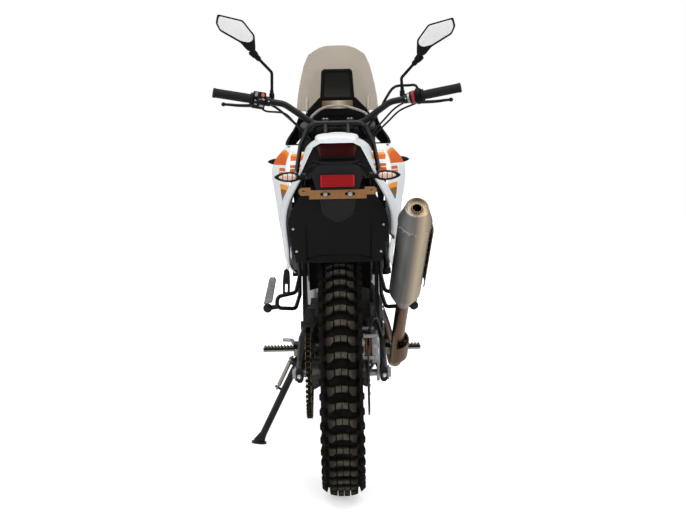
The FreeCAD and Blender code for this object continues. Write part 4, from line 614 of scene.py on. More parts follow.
def signal_bands(f, tone):
    """Signal lens: clear, with amber stripes 13 mm apart across it."""
    across = f.math("ABSOLUTE", f.group(PLACE)["X"])
    wave = f.math("SINE", f.math("MULTIPLY", across, 2 * math.pi / 13.0))
    return f.ramp(f.span(wave, -1, 1), [(0.0, "b7b2ac"), (0.62, "dedad5"), (0.74, "c8722f"),
                                        (1.0, "b85a1e")])


# The panel's bands of colour on its inner edge; a lamp dark red in the middle and smoked at
# both sides; a pipe straw coloured, then brown and blue where it ran hot; display glass with
# a painted reflection, paler towards its foot, and its trim with a painted sheen in the middle
RETURN_STRIPES = ramp_along("Z", 800, 980,
                            [(0.0, "0a0a0a"), (0.46, WHITE), (0.57, ORANGE), (0.622, WHITE),
                             (0.64, ORANGE), (0.69, WHITE), (0.76, ORANGE), (0.84, GOLD),
                             (0.88, WHITE)], steps=True)
LAMP_SHADES = ramp_along("X", 30, 62, [(0.0, "2e0405"), (0.4, "380a09"), (0.6, "4a2e25"),
                                       (1.0, "3c2a22")], mirrored=True)
HEAT_SHADES = ramp_along("Y", 560, 1010,
                         [(0.0, "6b4f33"), (0.35, "7d6442"), (0.6, "5d4a3a"), (0.8, "463c38"),
                          (1.0, "3a3430")])
DISPLAY_PAINTED_REFLECTION = ramp_along("Z", 1150, 1236, [(0.0, "2c271e"), (0.45, "12110b"), (1.0, "050503")])
TRIM_PAINTED_SHEEN = ramp_along("X", -54, 54, [(0.0, "5d4a36"), (0.25, "8f7a5c"), (0.55, "cfc2a8"),
                                        (0.8, "8d7a5e"), (1.0, "6a5741")])


def smoked_screen():
    """Thin smoked screen: mostly see-through, warm grey, with fine scratches."""
    f = Finish("smoked screen", Base_Color=colour("c4bbae"), Transmission_Weight=0.72, IOR=1.05)
    scratch = f.group(BRUSHED, Across=500.0, Along=9.0, Tilt=0.3)
    f.graded(scratch["Mask"], 0.05, 0.09)
    f.bump(scratch["Height"], 0.1, 0.000001)
    return f


# Finishes by name. Moulded: dark and light tone, roughness, grain scale and depth, dust and
# shine. Metal: two tones, roughness, lines across and along, tilt, depth and dust.
FINISHES = {
    "frame_paint": moulded("frame powder coat", "090909", "0e0e0e", 0.36, 420, 0.00003, 0.06, 0.3),
    "black_plastic": moulded("textured black plastic", "040403", "070706", 0.52, 700, 0.00006,
                             0.03, 0.14),
    "grey_plastic": moulded("charcoal plastic", "151313", "1b1919", 0.5, 700, 0.00006, 0.04, 0.22),
    "satin_grey": moulded("charcoal guard", "1b1a18", "252421", 0.34, 260, 0.00003, 0.12, 0.4),
    "white_plastic": moulded("gloss white plastic", "e0e4e7", "e2e6e8", 0.3, 7, 0.000001, 0.01,
                             0.3, spread=0.01),
    "stripes": moulded("white plastic with stripes", "e0e4e7", "e2e6e8", 0.5, 7, 0.000001, 0.01,
                       0.04, panel_stripes, 0.01),
    "return_stripes": moulded("panel edge with stripes", "dfe3e6", "e2e6e8", 0.4, 7, 0.000001,
                              0.01, 0.12, RETURN_STRIPES, 0.01),
    "alloy": metal("cast alloy", "8f9092", "adaeb0", 0.38, 300, 300),
    "silver": metal("zinc plated screws", "b9b9b6", "d2d2cf", 0.25, 500, 300),
    "dark_alloy": moulded("dark engine paint", "1c1c1e", "272728", 0.4, 380, 0.0001, 0.25),
    "steel": metal("brushed steel", "9d9588", "a8a093", 0.25, 30, 1600, -0.6),
    # Silencer: painted highlights and shade across its round body come from its pattern
    "silencer": metal("silencer steel", "9d9588", "a8a093", 0.36, 30, 1600, -0.6, 0.000003, 0.0,
                      silencer_painted_sheen, 0.6),
    "dark_steel": metal("dark brake steel", "3a3836", "4a4745", 0.35, 200, 200),
    "shield_steel": metal("heat shield steel", "6f665b", "8b8175", 0.4, 30, 900, -0.6, 0.000004,
                          0.0, two_tone(470.0, "5d452c", None)),
    "peg_alloy": metal("footpeg casting", "8f9092", "adaeb0", 0.42, 300, 300,
                       pattern=two_tone(351.5, "a8a093", "1d1c1a")),
    "outlet": metal("warm outlet steel", "9c8a72", "bba88c", 0.36, 200, 200),
    "deep_black": moulded("shadowed bore", "010101", "020202", 0.9, 300, 0.00001, 0.0, 0.0),
    "pipe": metal("heated pipe", "7c5a3a", "8e6b48", 0.3, 500, 500, pattern=HEAT_SHADES),
    "bronze": moulded("bronze coating", "80582f", "8f6437", 0.42, 300, 0.00003, 0.03),
    "chain": metal("oiled chain", "15120f", "241e17", 0.46, 300, 300, dust=0.0,
                   pattern=chain_shades),
    # Tyres: painted shade between the tread blocks and painted light on their tops
    "rear_tread": moulded("rear tyre rubber", "1b1815", "241f1b", 0.85, 420, 0.0001, 0.06, 0.06,
                          tread_painted_shade(REAR_HUB)),
    "front_tread": moulded("front tyre rubber", "1b1815", "241f1b", 0.85, 420, 0.0001, 0.06, 0.06,
                           tread_painted_shade(FRONT_HUB)),
    "rubber": moulded("grip rubber", "0b0b0b", "111112", 0.6, 520, 0.00008, 0.02, 0.25),
    "seat_cover": moulded("grained seat cover", "0b0b0c", "111113", 0.55, 650, 0.00015, 0.1, 0.4),
    "piping": moulded("seat piping", "3a3a3c", "4a4a4c", 0.5, 500, 0.00005, 0.1),
    "lens_red": moulded("tail lens", "2a0507", "35100f", 0.4, 90, 0.00001, 0.0, 0.06, LAMP_SHADES),
    "clamp_paint": moulded("fork clamp paint", "060606", "090909", 0.62, 420, 0.00003, 0.02, 0.1),
    "reflector": moulded("red reflector", "8a0209", "9c050d", 0.2, 90, 0.00001, 0.0, 0.35,
                         reflector_prisms),
    "orange": moulded("orange button", "c9521f", "dd6a30", 0.35, 200, 0.00002, 0.0, 0.4),
    "kill_red": moulded("red switch", "7d1712", "a02a20", 0.35, 200, 0.00002, 0.0, 0.4),
    "lens_clear": moulded("clear lens", "d2cfca", "e2dfda", 0.1, 90, 0.00001, 0.0, 0.7),
    "screen_tint": smoked_screen(),
    # Mirror glass: its pale colour is a painted reflection of the white surroundings
    "glass": moulded("mirror glass", "dddcdd", "e2e1e2", 0.1, 12, 0.000001, 0.0, 0.5),
    "signal_lens": moulded("signal lens", "d2cfca", "e2dfda", 0.12, 90, 0.00001, 0.0, 0.6,
                           signal_bands),
    "cowl_paint": moulded("screen bracket paint", "090909", "0e0e0e", 0.36, 420, 0.00003, 0.0, 0.3,
                          two_tone(1098.0, None, "d9cfc1")),
    # Display glass: a painted reflection, paler towards its foot; trim band: a painted sheen in its
    # middle
    "display": moulded("display glass", "080703", "0c0b06", 0.08, 60, 0.000001, 0.0, 0.4,
                       DISPLAY_PAINTED_REFLECTION),
    "warm_trim": moulded("display trim", "9d8b6c", "bba988", 0.35, 120, 0.00001, 0.0, 0.4,
                         TRIM_PAINTED_SHEEN),
    "cable_grey": moulded("grey cable sleeve", "7d7872", "a39d95", 0.4, 300, 0.00002, 0.0),
    "spring_white": moulded("spring coating", "b4b6b6", "c6c8c8", 0.3, 200, 0.00003, 0.1),
    "copper": metal("brake pad backing", "8a5a3a", "a8714b", 0.35, 300, 300),
}

NODE_FINISH = {
    "clamp_paint": "triple_clamps",
    "frame_paint": "frame subframe swingarm grab_rack handlebar side_stand passenger_pegs",
    "black_plastic": "inner_fender rear_signals front_signals display_tower cowl_sides mirrors "
                     "hand_controls radiators",
    "grey_plastic": "plate_holder",
    "satin_grey": "chain_guard rear_hub",
    "white_plastic": "rear_panels tail_cover front_fender fuel_tank",
    "stripes": "front_panels",
    "alloy": "foot_controls front_axle rear_axle front_hub rear_caliper front_caliper skid_plate "
             "fork_legs",
    "dark_alloy": "engine_case cylinder_head rear_rim front_rim fork_tubes drive_sprocket "
                  "rear_sprocket",
    "steel": "front_disc stand_spring",
    "shield_steel": "heat_shields",
    "peg_alloy": "footpegs",
    "silencer": "silencer",
    "dark_steel": "rear_disc",
    "cowl_paint": "cowl_frame",
    "pipe": "header_pipe",
    "bronze": "plate_bracket",
    "chain": "chain",
    "rear_tread": "rear_tyre",
    "front_tread": "front_tyre",
    "rubber": "grips",
    "seat_cover": "seat",
    "lens_red": "tail_light",
    "reflector": "reflector",
    "lens_clear": "headlight",
    "screen_tint": "windscreen",
    "spring_white": "shock",
}

for finish_name, members in NODE_FINISH.items():
    for member in members.split():
        materials = nodes[member].data.materials
        materials.clear()
        materials.append(FINISHES[finish_name].material)


# Wheels

SPOKES_A_SIDE = 18
REAR_ROWS, FRONT_ROWS = 48, 56
REAR_CARCASS = [(27, 231.8), (33, 234), (40, 240), (47, 251), (51.5, 261), (52.6, 262.5),
                (52.4, 264), (55.6, 283), (56.9, 285), (56.2, 287), (55.5, 298), (53, 307),
                (43, 319), (29, 327), (14, 329.4), (0, 330)]
FRONT_CARCASS = [(20, 268.8), (26, 271), (32, 277), (36.5, 287), (38.2, 289), (38, 291), (41, 303),
                 (41.5, 312), (38, 321), (28, 329), (14, 332.4), (0, 333)]


def carcass(half, hub, rings=144):
    """Tyre body: half of its section, as (x, radius), mirrored and carried round the axle."""
    half = np.asarray(half, float)
    section = np.vstack([half, half[-2::-1] * [-1, 1]])
    a = np.linspace(0, 2 * np.pi, rings, endpoint=False)[:, None]
    x, r = section[:, 0], section[:, 1]
    return loft(hub + np.stack([np.broadcast_to(x, (rings, len(x))), r * np.sin(a), r * np.cos(a)],
                               -1), closed=True)


def rear_tyre():
    """Knobbly tyre: 48 rows of split centre paddles with winged blocks beside them, and
    shoulder knobs over the edge, set back by half a row."""
    centre = lug(polar([(0.6, -0.9, 326), (16, -1.3, 325), (17, 2.1, 325), (0.6, 2.4, 326)]),
                 polar([(0.6, -0.6, 345.0), (15.4, -0.9, 344.6), (16.2, 1.8, 344.6),
                        (0.6, 2.1, 345.0)]))
    wing = lug(polar([(18.4, -1.0, 325), (27, -2.9, 322), (38, -3.2, 314), (40.5, 0.2, 313),
                      (38.5, 1.9, 314), (18.2, 1.7, 325)]),
               polar([(18.8, -0.8, 343.8), (27.4, -2.5, 342), (36.6, -2.8, 339.4),
                      (38.8, 0.2, 338.9), (37, 1.6, 339.3), (18.8, 1.4, 343.8)]))
    knob = lug(polar([(42, -2.2, 315), (55.5, -1.7, 298), (55.5, 1.7, 298), (42, 2.2, 315)]),
               polar([(47.5, -1.7, 334), (60.6, -1.3, 321.5), (61, 1.3, 321.5), (47.5, 1.7, 334)]))
    turns = np.arange(REAR_ROWS) * (360 / REAR_ROWS)
    rows = [both(around(centre, turns, REAR_HUB)), both(around(wing, turns, REAR_HUB)),
            both(around(knob, turns + 180 / REAR_ROWS, REAR_HUB))]
    piece("rear_tyre_tread", joined(carcass(REAR_CARCASS, REAR_HUB), *rows), "rear_tread",
          "rear_wheel", stands_for="rear_tyre", smooth=32)


def front_tyre():
    """Front tyre: 28 rows of two, centre pairs, outer blocks and shoulder knobs."""
    pair = lug(polar([(1, -2.0, 329), (13, -1.6, 328), (13, 2.0, 328), (1, 1.6, 329)]),
               polar([(1, -1.8, 347), (12.5, -1.4, 346.6), (12.5, 1.8, 346.6), (1, 1.4, 347)]))
    outer = lug(polar([(15, -1.9, 327), (29, -2.4, 320), (29, 1.4, 320), (15, 1.8, 327)]),
                polar([(15.5, -1.6, 345.4), (28, -2.1, 340), (28.4, 1.2, 340), (15.5, 1.6, 345.4)]))
    knob = lug(polar([(30, -2.0, 320), (40, -1.6, 306), (40, 1.6, 306), (30, 2.0, 320)]),
               polar([(33, -1.7, 337), (45, -1.3, 324), (45, 1.3, 324), (33, 1.7, 337)]))
    turns = np.arange(FRONT_ROWS) * (360 / FRONT_ROWS)
    rows = [both(around(pair, turns[::2], FRONT_HUB)), both(around(outer, turns + 3.2, FRONT_HUB)),
            both(around(knob, turns, FRONT_HUB)),
            both(around((pair[0] * [0.6, 1, 1], pair[1]), turns[1::2], FRONT_HUB))]
    piece("front_tyre_tread", joined(carcass(FRONT_CARCASS, FRONT_HUB), *rows), "front_tread",
          "front_wheel", stands_for="front_tyre", smooth=32)


def rim_fittings():
    """Spoke nipples at both rims, a valve stem and its cap."""
    for name, body, hub, radius, half in (
            ("rear_nipples", "rear_wheel", REAR_HUB, 209.0, 9.0),
            ("front_nipples", "front_wheel", FRONT_HUB, 246.0, 6.5)):
        nipple = turned((half, 0, radius + 3), (-0.12, 0, -1),
                        [(-3, 3.6), (2, 3.6), (3, 2.9), (13, 2.7), (14, 2.2)], 8)
        turns = (np.arange(SPOKES_A_SIDE) + 0.5) * 360 / SPOKES_A_SIDE
        near = around(nipple, turns, hub)
        far = around(flipped(nipple), turns + 180 / SPOKES_A_SIDE, hub)
        valve = turned((0, 0, radius + 2), (0, 0, -1),
                       [(-2, 5), (2, 5), (3, 3), (26, 3), (26.5, 4), (35, 4), (36, 3)], 12)
        piece(name, joined(near, far, around(valve, np.array([150.0]), hub)), "silver", body)


def wheel_nuts():
    """Washers, adjuster bolts and scale plates at both ends of the rear axle."""
    shapes = []
    for side in (1, -1):
        out = np.array([side, 0, 0.0])
        shapes.append(turned((side * 131, 0, 345), out, [(0, 15.5), (1.6, 15.5), (1.6, 12), (2, 8)],
                             28))
        bolt = turned((side * 118, -44, 345), (0, -1, 0),
                      [(0, 4), (14, 4), (14, 6.6), (20, 6.6), (20.5, 5.6)], 6)
        shapes.append(bolt)
        for z in (330, 360):
            shapes.append(plate(oblong(42, 3), (side * 129.4, 0, z), AHEAD, UP, 0.8 * side, 0.2))
    piece("axle_nuts", joined(*shapes), "silver")


# Chain

CHAIN_PITCH = 15.875
CHAIN_LINKS = 114
REAR_TEETH, DRIVE_TEETH = 48, 14
DRIVE_HUB = np.array([640.0, 425.0])
BACK_HUB = np.array([0.0, 345.0])


def chain_path(count):
    """Joints of the chain: equal steps along two sprocket arcs and the tangent runs between
    them; the tangents' normals stand off the centre line by the angle whose cosine is the
    difference of the radii over the distance."""
    r_back = CHAIN_PITCH / (2 * math.sin(math.pi / REAR_TEETH))
    r_front = CHAIN_PITCH / (2 * math.sin(math.pi / DRIVE_TEETH))
    run = DRIVE_HUB - BACK_HUB
    tilt, off = math.atan2(run[1], run[0]), math.acos((r_back - r_front) / np.hypot(*run))
    front = tilt + np.linspace(off, -off, 60)
    back = tilt + np.linspace(-off, off - 2 * np.pi, 160)
    path = np.vstack([DRIVE_HUB + r_front * np.column_stack([np.cos(front), np.sin(front)]),
                      BACK_HUB + r_back * np.column_stack([np.cos(back), np.sin(back)])])
    path = np.vstack([path, path[:1]])
    along = np.concatenate([[0], np.cumsum(np.linalg.norm(np.diff(path, axis=0), axis=1))])
    at = np.linspace(0, along[-1], count, endpoint=False)
    return np.column_stack([np.interp(at, along, path[:, 0]), np.interp(at, along, path[:, 1])])


def chain():
    """Roller chain: inner and outer plates by turns, with a roller and a pin at each joint."""
    joints = chain_path(CHAIN_LINKS)
    step = np.roll(joints, -1, 0) - joints
    d = unit(step)
    z = np.zeros(CHAIN_LINKS)
    frames = np.stack([np.column_stack([z, d]), np.column_stack([z, -d[:, 1], d[:, 0]]),
                       np.broadcast_to(ACROSS, (CHAIN_LINKS, 3))], 1)
    beside = np.full(CHAIN_LINKS, CHAIN_X)
    middle, ends = np.column_stack([beside, joints + step / 2]), np.column_stack([beside, joints])
    shape = oblong(CHAIN_PITCH + 10.4, 11.6, 5)
    shape[:, 1] *= 1 - 0.22 * np.exp(-(shape[:, 0] / 4.0) ** 2)
    inner, outer = (joined(*[plate(shape, (0, 0, w), ACROSS, AHEAD, 1.5, 0.3) for w in sides])
                    for sides in ((4.4, -5.9), (6.1, -7.6)))
    pin = joined(turned((0, 0, 0), (0, 0, 1), [(-4.4, 4.9), (4.4, 4.9)], 10),
                 turned((0, 0, 0), (0, 0, 1), [(-8.8, 2.2), (-8.4, 2.6), (8.4, 2.6), (8.8, 2.2)],
                        8))
    links = joined(copies(inner, middle[::2], frames[::2]),
                   copies(outer, middle[1::2], frames[1::2]), copies(pin, ends, frames))
    piece("chain_links", links, "chain", stands_for="chain")


# Exhaust

SILENCER_LINE = unit(SILENCER_END - SILENCER_FOOT)
SILENCER_LENGTH = 526.0
SILENCER_R = 45.5


def on_silencer(along):
    return SILENCER_FOOT + SILENCER_LINE * along


def silencer():
    """Turned silencer: inlet cone, body with a rolled seam before the outlet cone, a rolled
    lip, the recessed outlet face, the short inner pipe and rivets."""
    n = SILENCER_LENGTH
    body = [(0.4, 22), (8, 23), (66, 43.5), (72, 45.2), (78, SILENCER_R), (n - 70, SILENCER_R),
            (n - 68.5, 46.6), (n - 66, 47.2), (n - 63.5, 46.6), (n - 62, SILENCER_R),
            (n - 58, 45.2), (n - 6, 32.2), (n - 3, 32.4), (n - 1, 32), (n, 30.6), (n - 0.6, 29),
            (n - 4, 28), (n - 8, 27.6)]
    face = [(n - 8.2, 27.9), (n - 9.5, 26), (n - 10.5, 20), (n - 9.5, 16), (n - 7, 14.2),
            (n - 3, 13.8), (n - 1.6, 13.4), (n - 1.6, 12.6), (n - 3, 12.2), (n - 12, 12.2),
            (n - 13, 27.6)]
    bore = [(n - 5, 12.1), (n - 6, 11.2), (n - 60, 11), (n - 64, 0.5), (n - 66, 0.5),
            (n - 66, 12.1)]
    piece("silencer_body", turned(SILENCER_FOOT, SILENCER_LINE, body, 72, True), "silencer",
          stands_for="silencer", smooth=25)
    piece("silencer_outlet", turned(SILENCER_FOOT, SILENCER_LINE, face, 56, True), "outlet",
          smooth=60)
    piece("silencer_bore", turned(SILENCER_FOOT, SILENCER_LINE, bore, 32, True), "deep_black")
    u, v = facing(SILENCER_LINE)[0, :2]
    seam = np.arange(0, 360, 22.5)
    ways = [u * math.cos(math.radians(a)) + v * math.sin(math.radians(a)) for a in seam]
    rivets = [(on_silencer(n - 74) + w * SILENCER_R, w) for w in ways]
    face_way = -0.2 * ACROSS - UP
    face_way = unit(face_way - SILENCER_LINE * face_way.dot(SILENCER_LINE))
    over = np.cross(face_way, SILENCER_LINE)
    spots = [(on_silencer(n - 10) + face_way * 20 + s * 5 * over, SILENCER_LINE) for s in (1, -1)]
    piece("silencer_rivets", dome_heads(rivets + spots, 2.2), "silver")


def shield_trim():
    """Dark rolled edges of the silencer's shield strip, its spacers and its bolts."""
    out = unit(np.array([1, 0, 0.35]))
    side = unit(np.cross(SILENCER_LINE, out))
    shapes = []
    start, end = (SILENCER_FOOT + SILENCER_LINE * at for at in (112, SILENCER_LENGTH - 112))
    for s in (1, -1):
        offset = side * s * 29.5 + out * 44.6
        shapes.append(tube(np.linspace(start + offset, end + offset, 12), 1.6, 8))
    for d in np.linspace(160, SILENCER_LENGTH - 160, 4):
        for s in (1, -1):
            foot = on_silencer(d) + side * s * 22
            shapes.append(tube([foot + out * 39.4, foot + out * 47.6], 3.2, 10))
    piece("shield_edges", joined(*shapes), "satin_grey")
    bolts = [(on_silencer(d) + out * 54.6, out) for d in (135, SILENCER_LENGTH - 135)]
    piece("shield_bolts", dome_heads(bolts, 5), "silver")


# Tail

def tail_details():
    """Bolts of the plate bracket in dark slots and its folds, the apron's screws and clips,
    the rib round the tongue and the reflector's border."""
    back = np.array([0, -1.0, 0])
    bolts = dome_heads([((x, -236.4, 857), back) for x in (-33, 33)], 7.2)
    piece("plate_bolts", bolts, "silver")
    slots = joined(*[plate(oblong(28, 8), (x, -236.05, 857), -ACROSS, UP, 0.35, 0.05)
                     for x in (-33, 33)])
    piece("bracket_slots", slots, "black_plastic")
    rims = both(crosswise(rounded([(74, 875), (76.5, 875), (76.5, 843.5), (74, 843.5)], 0.8),
                          -236.3, -1.0, 0.2))
    piece("bracket_folds", rims, "bronze")
    screws = [((x, y, z), back)
              for x, y, z in ((-123, -158.6, 762), (-115, -140.5, 700), (122, -160, 770),
                              (114, -140, 696))]
    clips = [((x, -207, 862), unit([0.2 * np.sign(x), -1, 0])) for x in (-93, -88, 88, 93)]
    piece("apron_screws", joined(dome_heads(screws, 4.2), dome_heads(clips, 2.4)), "silver")
    ridge = [(-57, 866), (-46, 842), (-40, 806), (-8, 787), (8, 787), (40, 806), (46, 842),
             (57, 866)]
    path = np.array([(x, -232.6, z) for x, z in ridge])
    piece("tongue_rib", tube(bends(path, 6), 1.5, 8), "grey_plastic")
    frame_line = np.array([(x, -243.0, z)
                           for x, z in ((-44, 877), (44, 877), (44, 907), (-44, 907))])
    frame_line = np.vstack([frame_line, frame_line[:1]])
    piece("reflector_border", tube(bends(frame_line, 3), 1.0, 8), "reflector")


def tail_trim():
    """Dark ledge under the lamp and a crease down each flank of the tail body."""
    ledge = np.array([(-60, -232.5, 946), (-40, -234.5, 941), (0, -235.2, 939.5), (40, -234.5, 941),
                      (60, -232.5, 946)])
    flank = np.array([(-56, -232.6, 938), (-76, -222, 930), (-84, -206.6, 920), (-88, -206.4, 880)])
    shapes = [tube(curve(ledge), 1.8, 8), both(tube(bends(flank, 8), 1.6, 8))]
    piece("tail_ledge", joined(*shapes), "grey_plastic")


def leaf(root, tip, y, z, half_height, depth, size=1.0, sides=24):
    """Pointed leaf body across the machine: ellipses whose size follows the leaf's outline."""
    share = np.linspace(0, 1, 15)
    grow = np.interp(share, [0, 0.12, 0.35, 0.65, 0.88, 1], [0.5, 0.85, 1, 0.86, 0.5, 0.12]) * size
    a = np.linspace(0, 2 * np.pi, sides, endpoint=False)
    x = (root + (tip - root) * (0.5 + (share - 0.5) * min(1, size + 0.12)))[:, None]
    rings = np.stack([np.broadcast_to(x, (15, sides)), y + depth * grow[:, None] * np.cos(a),
                      z + half_height * grow[:, None] * np.sin(a)], -1)
    return loft(rings)


def signals():
    """Rear lenses with amber bands, and the front signals' black leaves and clear lenses."""
    clear = leaf(-107, -164, -204, 904, 11.4, 19.5)
    piece("signal_lenses", both(clear), "signal_lens")
    piece("front_signal_leaves", both(leaf(-196, -245, 1145, 930, 11, 14)), "black_plastic",
          stands_for="front_signals")
    front = leaf(-214, -240, 1149, 930, 8, 12, 0.9)
    piece("front_signal_lenses", both(front), "lens_clear")


# Cockpit

GRIP_TIP = np.array([-412.0, 987.0, 1167.0])
BAR_BEND = np.array([-180.0, 1036.0, 1126.0])
BAR_CLAMP = np.array([0.0, 1046.0, 1056.0])
GRIP_LINE = unit(BAR_BEND - GRIP_TIP)


def grip_at(along, back=0.0, up=0.0):
    """Point beside the left bar end: so far in from its tip, so far back and up."""
    return GRIP_TIP + GRIP_LINE * along + np.array([0, -back, up])


def grips():
    """Ribbed grips with a bar-end plug and an inner flange."""
    along = np.linspace(4.4, 122, 119)
    rib = 15.4 + 0.55 * np.abs(np.sin(along * 0.62)) * (along > 4) * (along < 112)
    profile = [(-4.9, 9), (-4.9, 12), (-4.7, 15.9), (-3.6, 16.6), (4, 16.6), *zip(along, rib),
               (122.4, 18), (124, 21.4), (128.4, 21.6), (129, 12)]
    grip = turned(GRIP_TIP, GRIP_LINE, profile, 36)
    piece("grip_sleeves", both(grip), "rubber", "steering", stands_for="grips", smooth=60)
    plug = turned(GRIP_TIP, -GRIP_LINE, [(4.6, 9), (5.0, 8.4), (5.1, 4.2), (4.6, 3.8)], 20)
    piece("bar_plugs", both(plug), "satin_grey", "steering")


def controls():
    """Switch blocks, throttle housing, lever clamps and levers with their ball ends."""
    lever = curve([grip_at(168, -14, -6), grip_at(152, -44, -16), grip_at(112, -58, -24),
                   grip_at(76, -60, -29), grip_at(48, -55, -31), grip_at(28, -50, -33)], 8)
    width = np.interp(np.linspace(0, 1, len(lever)), [0, 0.15, 0.9, 1], [7.5, 6.2, 4.8, 4.6])
    ball = turned(lever[-1], lever[-1] - lever[-2],
                  [(-5, 4.6), (-2, 6.6), (2, 7.4), (6, 6.2), (9, 2)], 14)
    piece("lever_blades", both(joined(tube(lever, width, 12), ball)), "frame_paint", "steering")
    across = unit(np.cross(GRIP_LINE, AHEAD))
    back = unit(np.cross(GRIP_LINE, across))
    body = rounded([(-19, -30), (17, -30), (21, -10), (20, 22), (12, 28), (-14, 28), (-20, 8)], 6)
    left = loft(np.stack([grip_at(a) + k * (body[:, :1] * back + body[:, 1:] * across)
                          for a, k in ((132, 0.9), (134, 1.0), (170, 1.0), (173, 0.92))]))
    other = (GRIP_TIP * OTHER_SIDE, GRIP_LINE * OTHER_SIDE)
    drum = turned(*other, [(130, 20), (131, 24), (134, 27), (148, 27.4), (151, 22), (156, 20),
                           (158, 21), (170, 21), (172, 17)], 28)
    clamp = turned(GRIP_TIP, GRIP_LINE, [(175, 14), (176, 16.6), (192, 16.6), (193, 14)], 24)
    arm = tube([grip_at(184, 6), grip_at(172, -30, 0)], 8, 14)
    piece("switch_blocks", joined(left, drum), "black_plastic", "steering",
          stands_for="hand_controls")
    piece("lever_clamps", both(joined(clamp, arm)), "frame_paint", "steering")
    perch = turned(*other, [(166, 16.6), (167, 18.6), (178, 18.6), (180, 16)], 24)
    piece("silver_perch", perch, "alloy", "steering")

    def pads(corner, off, depth, bevel, spots):
        """Rounded pads on the left switch block, each (along, up, half width, half height)."""
        return joined(*[plate(rounded([(-w, -t), (w, -t), (w, t), (-w, t)], corner),
                              grip_at(a) + back * off + across * h, GRIP_LINE, across, depth,
                              bevel) for a, h, w, t in spots])

    keys = pads(2, 20.3, 3.0, 0.6, ((140, 16, 9, 8), (141, -15, 9, 10), (160, -18, 12, 7),
                                    (153, 1, 9, 9)))
    marks = pads(1, 23.5, 0.5, 0.1, ((138, 18, 4.6, 7), (140, -16, 4.5, 1.6), (160, -19, 7, 3.4),
                                     (152, 2, 3, 1.4), (162, 4, 3, 3)))
    piece("switch_keys", keys, "grey_plastic", "steering")
    piece("switch_marks", marks, "cable_grey", "steering")
    button = turned(grip_at(161) + back * 19.5 + across * 18, back, [(0, 6), (3.4, 6), (4.4, 4.6)],
                    18)
    piece("starter_button", button, "orange", "steering")
    kill = turned(*other, [(150.6, 20), (151.4, 21), (154, 22.6), (156, 21.4), (158, 22.8),
                           (163, 22.8), (164, 20)], 24)
    piece("kill_switch", kill, "kill_red", "steering")
    screws = [(grip_at(a) + back * 20.6 + across * h, back) for a, h in ((167, 3), (137, -3))]
    bolt = grip_at(184) + back * 16
    screws += [(bolt * OTHER_SIDE, back * OTHER_SIDE), (bolt, back)]
    piece("control_screws", dome_heads(screws, 3.4), "silver", "steering")


def cockpit_cables():
    """Cables and hoses held on the handlebar: each leaves its housing, follows the bar and
    drops to the yokes; all stay with the steering."""
    clutch = [grip_at(172, -34, -2), (-205, 1062, 1112), (-165, 1056, 1078), (-128, 1042, 1042),
              (-96, 1036, 1004)]
    switch = [grip_at(158, 6, -22), grip_at(178, 10, -34), (-180, 1016, 1094), (-146, 1026, 1062),
              (-110, 1040, 1030)]
    throttle = [grip_at(140, -22, 14) * OTHER_SIDE, grip_at(150, -34, 38) * OTHER_SIDE,
                grip_at(176, -38, 44) * OTHER_SIDE, (196, 1042, 1176), (168, 1050, 1142),
                (140, 1052, 1092), (112, 1048, 1056), (92, 1040, 1020)]
    brake = [grip_at(176, -30, -6) * OTHER_SIDE, (196, 1066, 1104), (158, 1062, 1066),
             (128, 1050, 1034), (104, 1044, 1004)]
    second = [grip_at(150, -16, -22) * OTHER_SIDE, (212, 1044, 1096), (172, 1050, 1060),
              (140, 1046, 1030), (112, 1044, 1000)]
    routes = ((clutch, 4.2), (switch, 3.4), (throttle, 4.6), (brake, 3.2), (second, 3.2))
    cables = joined(*[tube(curve(route), radius, 10) for route, radius in routes])
    piece("handlebar_cables", cables, "rubber", "steering", smooth=80)
    arch = curve([(-92, 1060, 1026), (-96, 1066, 1068), (-70, 1074, 1098), (-36, 1078, 1114),
                  (10, 1080, 1118), (52, 1078, 1108), (92, 1070, 1092), (112, 1060, 1072)])
    piece("cable_arch", tube(arch, 4.4, 12), "cable_grey", "steering", smooth=80)


def clamp_caps():
    """Bar clamp caps with their bolts on the top yoke."""
    caps, bolts = [], []
    for x in (-42, 42):
        cap = plate(rounded([(-19, -19), (19, -19), (19, 8), (12, 19), (-12, 19), (-19, 8)], 5),
                    (x - 11, BAR_CLAMP[1], BAR_CLAMP[2]), AHEAD, UP, 22, 1.2)
        caps.append(cap)
        bolts += [((x + s, BAR_CLAMP[1] + t, BAR_CLAMP[2] + 17), UP) for s in (-5, 5)
                  for t in (-13, 13)]
    piece("bar_caps", joined(*caps), "frame_paint", "steering")
    piece("clamp_bolts", dome_heads(bolts, 3.4), "silver", "steering")


LEFT_MIRROR_RISE, RIGHT_MIRROR_RISE = 17.0, -10.0
MIRROR = [(-403, 1384), (-396, 1413.5), (-311, 1391.5), (-272.5, 1341), (-270.5, 1292),
          (-284, 1284.5), (-299, 1290), (-321, 1316), (-390, 1357)]
MIRROR_GLASS = [(-396.5, 1383), (-390.5, 1407), (-313.5, 1386.5), (-277.5, 1338.5), (-278.5, 1324),
                (-292, 1316), (-320, 1322.5), (-387, 1362)]


